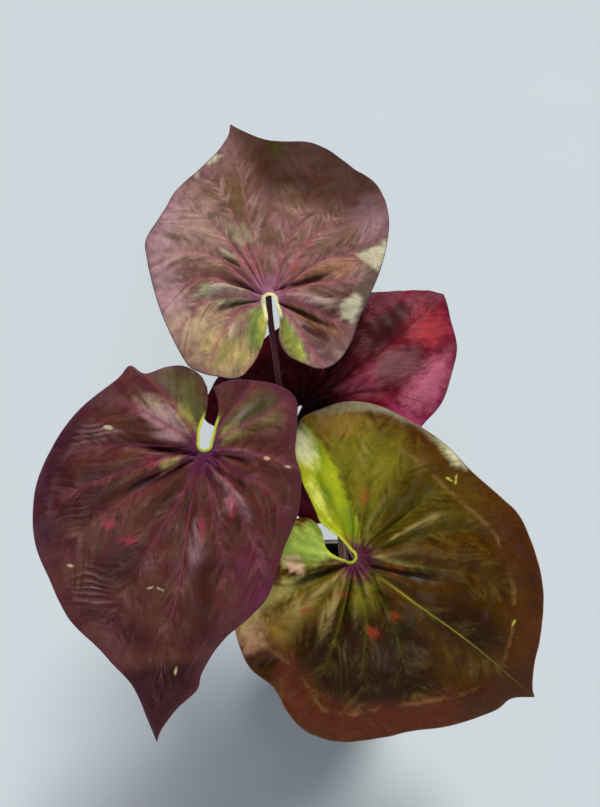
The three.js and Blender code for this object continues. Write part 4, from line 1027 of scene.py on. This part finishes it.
for name, blade in BLADES.items():
    colours = LEAF_COLOURS[name]
    grid = blade_grid(blade)
    blade_relief(blade, grid)
    x, y = grid["place"][..., 0], grid["place"][..., 1]

    # Upper skin of the blade: a thin satin wax over coloured cells, its gloss changing in blotches. The
    # crests are paled as a painted highlight and the fold valleys darkened as painted shade. The cells'
    # colour runs and breaks up along the side veins.
    skin = new_material(f"waxy_leaf_skin_{name}", {"IOR": 1.45, "Specular IOR Level": colours["wax"][0]})
    known = {key: add_node(skin, "Attribute", {"attribute_name": key}).outputs["Fac"] for key in MEASURES}
    place, fishbone = (add_node(skin, "Attribute", {"attribute_name": key}).outputs["Vector"]
                       for key in ("leaf_place", "fishbone"))
    # Clouds of colour are about 20 mm across, blotches 7 mm, cells drawn coarse at 2 mm so that they show,
    # side veins 3 mm, and the threads and brushed strokes between them 6 and 8 mm.
    for key, where, size, detail in (("cloud", place, 20, 4.0), ("blotch", place, 7, 3.0),
                                     ("cell", place, 2, 4.0), ("streak", fishbone, 3, 2.0),
                                     ("thread", fishbone, 6, 1.0), ("stroke", fishbone, 8, 2.0)):
        known[key] = add_node(skin, "TexNoise", {"Scale": 1 / size, "Detail": detail, "Roughness": 0.6},
                              {"Vector": where})
    known["taper"] = add_node(skin, "MapRange", {"From Min": 8.0, "From Max": 150.0, "To Min": 2.4,
                              "To Max": 1.0}, {"Value": known["reach"]})
    margin = blade["collective"] + 6.0
    # Sums of the measures: each one's name, how it is worked out, with which numbers and from which measures.
    for key, operation, numbers, sources in (
            ("off_thread", "SUBTRACT", {1: 0.5}, {0: "thread"}),
            ("squiggle", "ABSOLUTE", {}, {0: "off_thread"}),
            ("half_stroke", "MULTIPLY_ADD", {1: 0.55, 2: -0.03}, {0: "stroke"}),
            ("half_blotch", "MULTIPLY", {1: 0.55}, {0: "blotch"}),
            ("fray", "ADD", {}, {0: "half_stroke", 1: "half_blotch"}),
            ("ray", "MULTIPLY_ADD", {1: 1.2}, {0: "vein", 2: "centre"}),
            ("loose_rim", "MULTIPLY_ADD", {1: 12.0}, {0: "cloud", 2: "rim"}),
            ("off_seam", "SUBTRACT", {1: margin}, {0: "loose_rim"}),
            ("seam", "ABSOLUTE", {}, {0: "off_seam"}),
            ("loose_vein", "MULTIPLY_ADD", {1: 4.0}, {0: "blotch", 2: "vein"}),
            ("off_vein", "SUBTRACT", {1: 2.0}, {0: "loose_vein"}),
            ("thin_vein", "DIVIDE", {}, {0: "off_vein", 1: "taper"}),
            ("loose_midrib", "MULTIPLY_ADD", {1: 1.2}, {0: "blotch", 2: "midrib"}),
            ("off_midrib", "SUBTRACT", {1: 0.6}, {0: "loose_midrib"}),
            ("thin_midrib", "DIVIDE", {}, {0: "off_midrib", 1: "taper"})):
        known[key] = add_node(skin, "Math", {"operation": operation, **numbers},
                              {at: known[source] for at, source in sources.items()})

    # A layer of colour lies where all its measures are between where it starts and where it is full.
    layers = []
    between_shade, between_strength = colours["between"]
    stripe_shade, streaky, thready = colours["stripe"]
    vein_shade, vein_strength = colours["vein"]
    margin_shade, margin_strength, margin_soft = colours["margin"]
    seam_shade, seam_strength = colours["seam"]
    hem_shade, hem_width, hem_reach = colours["hem"]
    streaks = [
        (between_shade, between_strength, ("gap", 0.15, 0.8), ("stroke", 0.62, 0.36), ("furrow", 0, 0.3)),
        (vein_shade, 0.35 * vein_strength, ("gap", 0.5, 0), ("stroke", 0.4, 0.6), ("furrow", 0, 0.3)),
        (stripe_shade, streaky, ("stroke", 0.46, 0.64), ("furrow", 0, 0.4)),
        (stripe_shade, 0.6 * streaky, ("streak", 0.5, 0.7), ("furrow", 0, 0.4)),
        # Painted shade: dark strokes in the wrinkled zones along the side veins.
        (colours["deep"], 0.28, ("stroke", 0.5, 0.34), ("furrow", 0, 0.4)),
        (stripe_shade, thready, ("squiggle", 0.035, 0.008), ("furrow", 0.02, 0.3), ("cloud", 0.46, 0.58)),
        # Painted highlight: the crests of folds, puffs and wrinkles are paled as if lit.
        (colours["wax_bloom_and_highlight"], 0.66, ("fold", 0.4, 3.6), ("stroke", 0.2, 0.6)),
        (margin_shade, margin_strength, ("loose_rim", margin + margin_soft, margin - margin_soft)),
        (seam_shade, seam_strength, ("seam", 3, 0.3), ("reach", 40, 60), ("cloud", 0.4, 0.58)),
    ]
    lines = [
        # Pale cells of wax bloom, in the crest colour, scattered at random.
        (colours["wax_bloom_and_highlight"], 0.3, ("cell", 0.64, 0.76)),
        (vein_shade, 0.5 * vein_strength, ("thin_vein", 3.2, 0.4), ("reach", 130, 20)),
        (vein_shade, vein_strength, ("thin_vein", 1.3, 0.1), ("reach", 120, 20)),
        (colours["midrib"], 0.8, ("thin_midrib", 1.2, 0.2), ("reach", 230, 60)),
        (colours["junction"], 0.9, ("ray", 27, 8)),
        # Painted shade: the fold valleys are darkened, though not on the veins themselves.
        (colours["deep"], 0.88, ("fold", -0.8, -4.2), ("vein", 0.4, 2)),
        (hem_shade, 1, ("hem", hem_width, hem_width - 1.4), ("reach", hem_reach * 1.5, hem_reach)),
        (colours["edge"], 0.7, ("rim", 1.3, 0.4)),
    ]
    carried = {}
    for table, over in (("washes", streaks), ("patches", lines)):
        for key, (shade, soft, ragged, strength, shapes) in colours[table].items():
            place_in = f"{table}_{key}"
            carried[place_in] = shape_mask(x, y, shapes)
            inside = add_node(skin, "Attribute", {"attribute_name": place_in}).outputs["Fac"]
            known[place_in] = add_node(skin, "Math", {"operation": "MULTIPLY_ADD", 1: float(ragged)},
                                       {0: known["fray"], 2: inside})
            layers.append((shade, strength, (place_in, ragged / 2 - soft, ragged / 2 + soft)))
        layers += over
    clouded = add_node(skin, "MapRange", {"interpolation_type": "SMOOTHSTEP", "From Min": 0.4,
                       "From Max": 0.6}, {"Value": known["cloud"]})
    colour = add_node(skin, "Mix", {"data_type": "RGBA", "A": colours["ground"][0],
                      "B": colours["ground"][1]}, {"Factor": clouded})
    for shade, strength, *limits in layers:
        mask = None
        for measure, start, full in limits:
            share = add_node(skin, "MapRange", {"interpolation_type": "SMOOTHSTEP", "From Min": float(start),
                             "From Max": float(full), "To Max": 1.0 if mask else strength},
                             {"Value": known[measure]})
            mask = add_node(skin, "Math", {"operation": "MULTIPLY"}, {0: mask, 1: share}) if mask else share
        colour = add_node(skin, "Mix", {"data_type": "RGBA", "B": shade}, {"Factor": mask, "A": colour})
    speckle = add_node(skin, "MapRange", {"From Min": 0.25, "From Max": 0.75, "To Min": 0.87, "To Max": 1.13},
                       {"Value": known["cell"]})
    mottled = add_node(skin, "MapRange", {"From Min": 0.3, "From Max": 0.7, "To Min": 1 - colours["mottle"],
                       "To Max": 1 + colours["mottle"]}, {"Value": known["fray"]})
    speckled = add_node(skin, "Math", {"operation": "MULTIPLY"}, {0: speckle, 1: mottled})
    colour = add_node(skin, "VectorMath", {"operation": "SCALE"}, {0: colour, "Scale": speckled})
    gloss = add_node(skin, "MapRange", {"From Min": 0.3, "From Max": 0.7, "To Min": colours["wax"][1],
                     "To Max": colours["wax"][2]}, {"Value": known["blotch"]})
    wrinkled = add_node(skin, "Math", {"operation": "MULTIPLY"}, {0: known["streak"], 1: known["furrow"]})
    wrinkles = add_node(skin, "Bump", {"Strength": 0.5, "Distance": 0.8 * MM}, {"Height": wrinkled})
    pores = add_node(skin, "Bump", {"Strength": 0.2, "Distance": 0.3 * MM},
                     {"Height": known["cell"], "Normal": wrinkles})
    wire(skin, {"Base Color": colour, "Roughness": gloss, "Normal": pores})

    # Under skin of the blade: paler cells with no wax, so it is dull, in clouds of 20 mm with a net of fine
    # side veins 3 mm apart, and with the raised veins darker than the rest.
    under = new_material(f"leaf_under_skin_{name}", {"IOR": 1.45, "Specular IOR Level": 0.3})
    vein = add_node(under, "Attribute", {"attribute_name": "vein"}).outputs["Fac"]
    place, fishbone = (add_node(under, "Attribute", {"attribute_name": key}).outputs["Vector"]
                       for key in ("leaf_place", "fishbone"))
    cloud = add_node(under, "TexNoise", {"Scale": 1 / 20, "Detail": 6.0, "Roughness": 0.62},
                     {"Vector": place})
    streak = add_node(under, "TexNoise", {"Scale": 1 / 3, "Detail": 3.0}, {"Vector": fishbone})
    clouded = add_node(under, "MapRange", {"interpolation_type": "SMOOTHSTEP", "From Min": 0.38,
                       "From Max": 0.62}, {"Value": cloud})
    colour = add_node(under, "Mix", {"data_type": "RGBA", "A": colours["under"][0], "B": colours["under"][1]},
                      {"Factor": clouded})
    netted = add_node(under, "MapRange", {"interpolation_type": "SMOOTHSTEP", "From Min": 0.5,
                      "From Max": 0.68, "To Max": 0.5}, {"Value": streak})
    colour = add_node(under, "Mix", {"data_type": "RGBA", "B": stripe_shade}, {"Factor": netted, "A": colour})
    on_vein = add_node(under, "MapRange", {"interpolation_type": "SMOOTHSTEP", "From Min": 2.2,
                       "From Max": 0.6, "To Max": 0.75}, {"Value": vein})
    colour = add_node(under, "Mix", {"data_type": "RGBA", "B": vein_shade}, {"Factor": on_vein, "A": colour})
    dull = add_node(under, "MapRange", {"To Min": 0.5, "To Max": 0.7}, {"Value": cloud})
    network = add_node(under, "Bump", {"Strength": 0.4, "Distance": 0.6 * MM}, {"Height": streak})
    wire(under, {"Base Color": colour, "Roughness": dull, "Normal": network})

    # The lower face has a third of the upper's rings, so walls along the sinus join several points to two.
    low_rings = np.arange(0, RINGS + 1, UNDER_STEP)
    count = len(grid["upper"])
    sides = [np.dstack([grid["place"], grid["upper"]]).reshape(-1, 3),
             np.dstack([grid["place"], grid["lower"]])[:, low_rings].reshape(-1, 3)]
    top_id = np.arange(count * (RINGS + 1)).reshape(count, RINGS + 1)
    low_id = top_id.size + np.arange(count * len(low_rings)).reshape(count, -1)
    faces = []
    for ids, corners in ((top_id, (0, 1, 2, 3)), (low_id, (0, 3, 2, 1))):
        square = [ids[:-1, :-1], ids[:-1, 1:], ids[1:, 1:], ids[1:, :-1]]
        faces += np.stack([square[c] for c in corners], -1).reshape(-1, 4).tolist()
    for i in range(count - 1):
        faces.append((top_id[i, 0], top_id[i + 1, 0], low_id[i + 1, 0], low_id[i, 0]))
        faces.append((top_id[i + 1, -1], top_id[i, -1], low_id[i, -1], low_id[i + 1, -1]))
    for j in range(len(low_rings) - 1):
        up = range(low_rings[j], low_rings[j + 1] + 1)
        faces.append((*(top_id[0, s] for s in reversed(up)), low_id[0, j], low_id[0, j + 1]))
        faces.append((*(top_id[-1, s] for s in up), low_id[-1, j + 1], low_id[-1, j]))
    upper_faces = (count - 1) * RINGS
    under_faces = range(upper_faces, upper_faces + (count - 1) * (len(low_rings) - 1))
    piece = new_piece(f"leaf_blade_{name}", in_plant(LEAVES[name], np.vstack(sides)), faces,
                      [skin, under], under_faces)

    carried.update({key: grid[key] for key in MEASURES})
    carried["leaf_place"] = np.dstack([x, y, np.zeros_like(x)])
    carried["fishbone"] = np.dstack([grid["phase"], grid["sweep"] * 0.3, grid["rim_share"] * 120])
    for key, values in carried.items():
        both = np.concatenate([values.reshape(top_id.size, -1),
                               values[:, low_rings].reshape(low_id.size, -1)])
        kind, word = ("FLOAT", "value") if both.shape[1] == 1 else ("FLOAT_VECTOR", "vector")
        piece.data.attributes.new(key, kind, "POINT").data.foreach_set(word, both.astype(np.float32).ravel())
    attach(piece, "root")
    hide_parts(f"blade_{name}")


# Studio: a plain pale floor in a room that is pale at the horizon and greyer above, a large soft lamp high
# behind the plant and a weaker one in front. The camera looks down at 45 degrees from a height of 731 mm, as
# in the picture.
FLOOR_HALF = 9000

# Matt paint of a pale bluish grey, with slow, faint changes of shade over 625 mm.
paint = new_material("pale_matt_paint", {"Roughness": 0.9, "Specular IOR Level": 0.2})
place = add_node(paint, "TexCoord", {}).outputs["Object"]
mottle = add_node(paint, "TexNoise", {"Scale": 1 / (625 * MM), "Detail": 3.0}, {"Vector": place})
pale = add_node(paint, "Mix", {"data_type": "RGBA", "A": "#ccd7df", "B": "#d1dbe2"}, {"Factor": mottle})
wire(paint, {"Base Color": pale})
floor = new_piece("floor", np.array([(-1, -1, 0), (1, -1, 0), (1, 1, 0), (-1, 1, 0)]) * FLOOR_HALF,
                  [(0, 1, 2, 3)], [paint])

world = bpy.data.worlds.new("pale_room")
bpy.context.scene.world = world
world.use_nodes = True
direction = add_node(world, "TexCoord", {}).outputs["Generated"]
height = add_node(world, "SeparateXYZ", {}, {0: direction}).outputs["Z"]
room = add_node(world, "ValToRGB", {"stops": ((0.03, "#c6ced5"), (0.2, "#8c8e90"), (0.55, "#595a5c"))},
                {"Fac": height})
link(world, room, world.node_tree.nodes["Background"].inputs["Color"])


def add_lamp(name, direction, strength, spread, shade):
    """A sun lamp: its direction, its strength, and how many degrees wide it looks from the plant."""
    data = bpy.data.lights.new(name, "SUN")
    data.energy, data.angle, data.color = strength, math.radians(spread), linear(shade)[:3]
    lamp = bpy.data.objects.new(name, data)
    lamp.rotation_euler = Vector(direction).to_track_quat("Z", "Y").to_euler()
    bpy.context.scene.collection.objects.link(lamp)


add_lamp("high_softbox", (0.2, 0.42, 0.87), 2.6, 22, "#fffbf4")
add_lamp("front_window", (0.1, -0.82, 0.55), 0.9, 34, "#f2f6ff")

camera_data = bpy.data.cameras.new("camera")
camera_data.sensor_width = 36
camera_data.lens = 27.08
camera_data.clip_end = 60
camera = bpy.data.objects.new("camera", camera_data)
camera.location = (-0.0375, -0.3033, 0.7309)
camera.rotation_euler = (math.radians(45), 0, 0)
bpy.context.scene.collection.objects.link(camera)
bpy.context.scene.camera = camera
bpy.context.scene.view_settings.view_transform = "Standard"
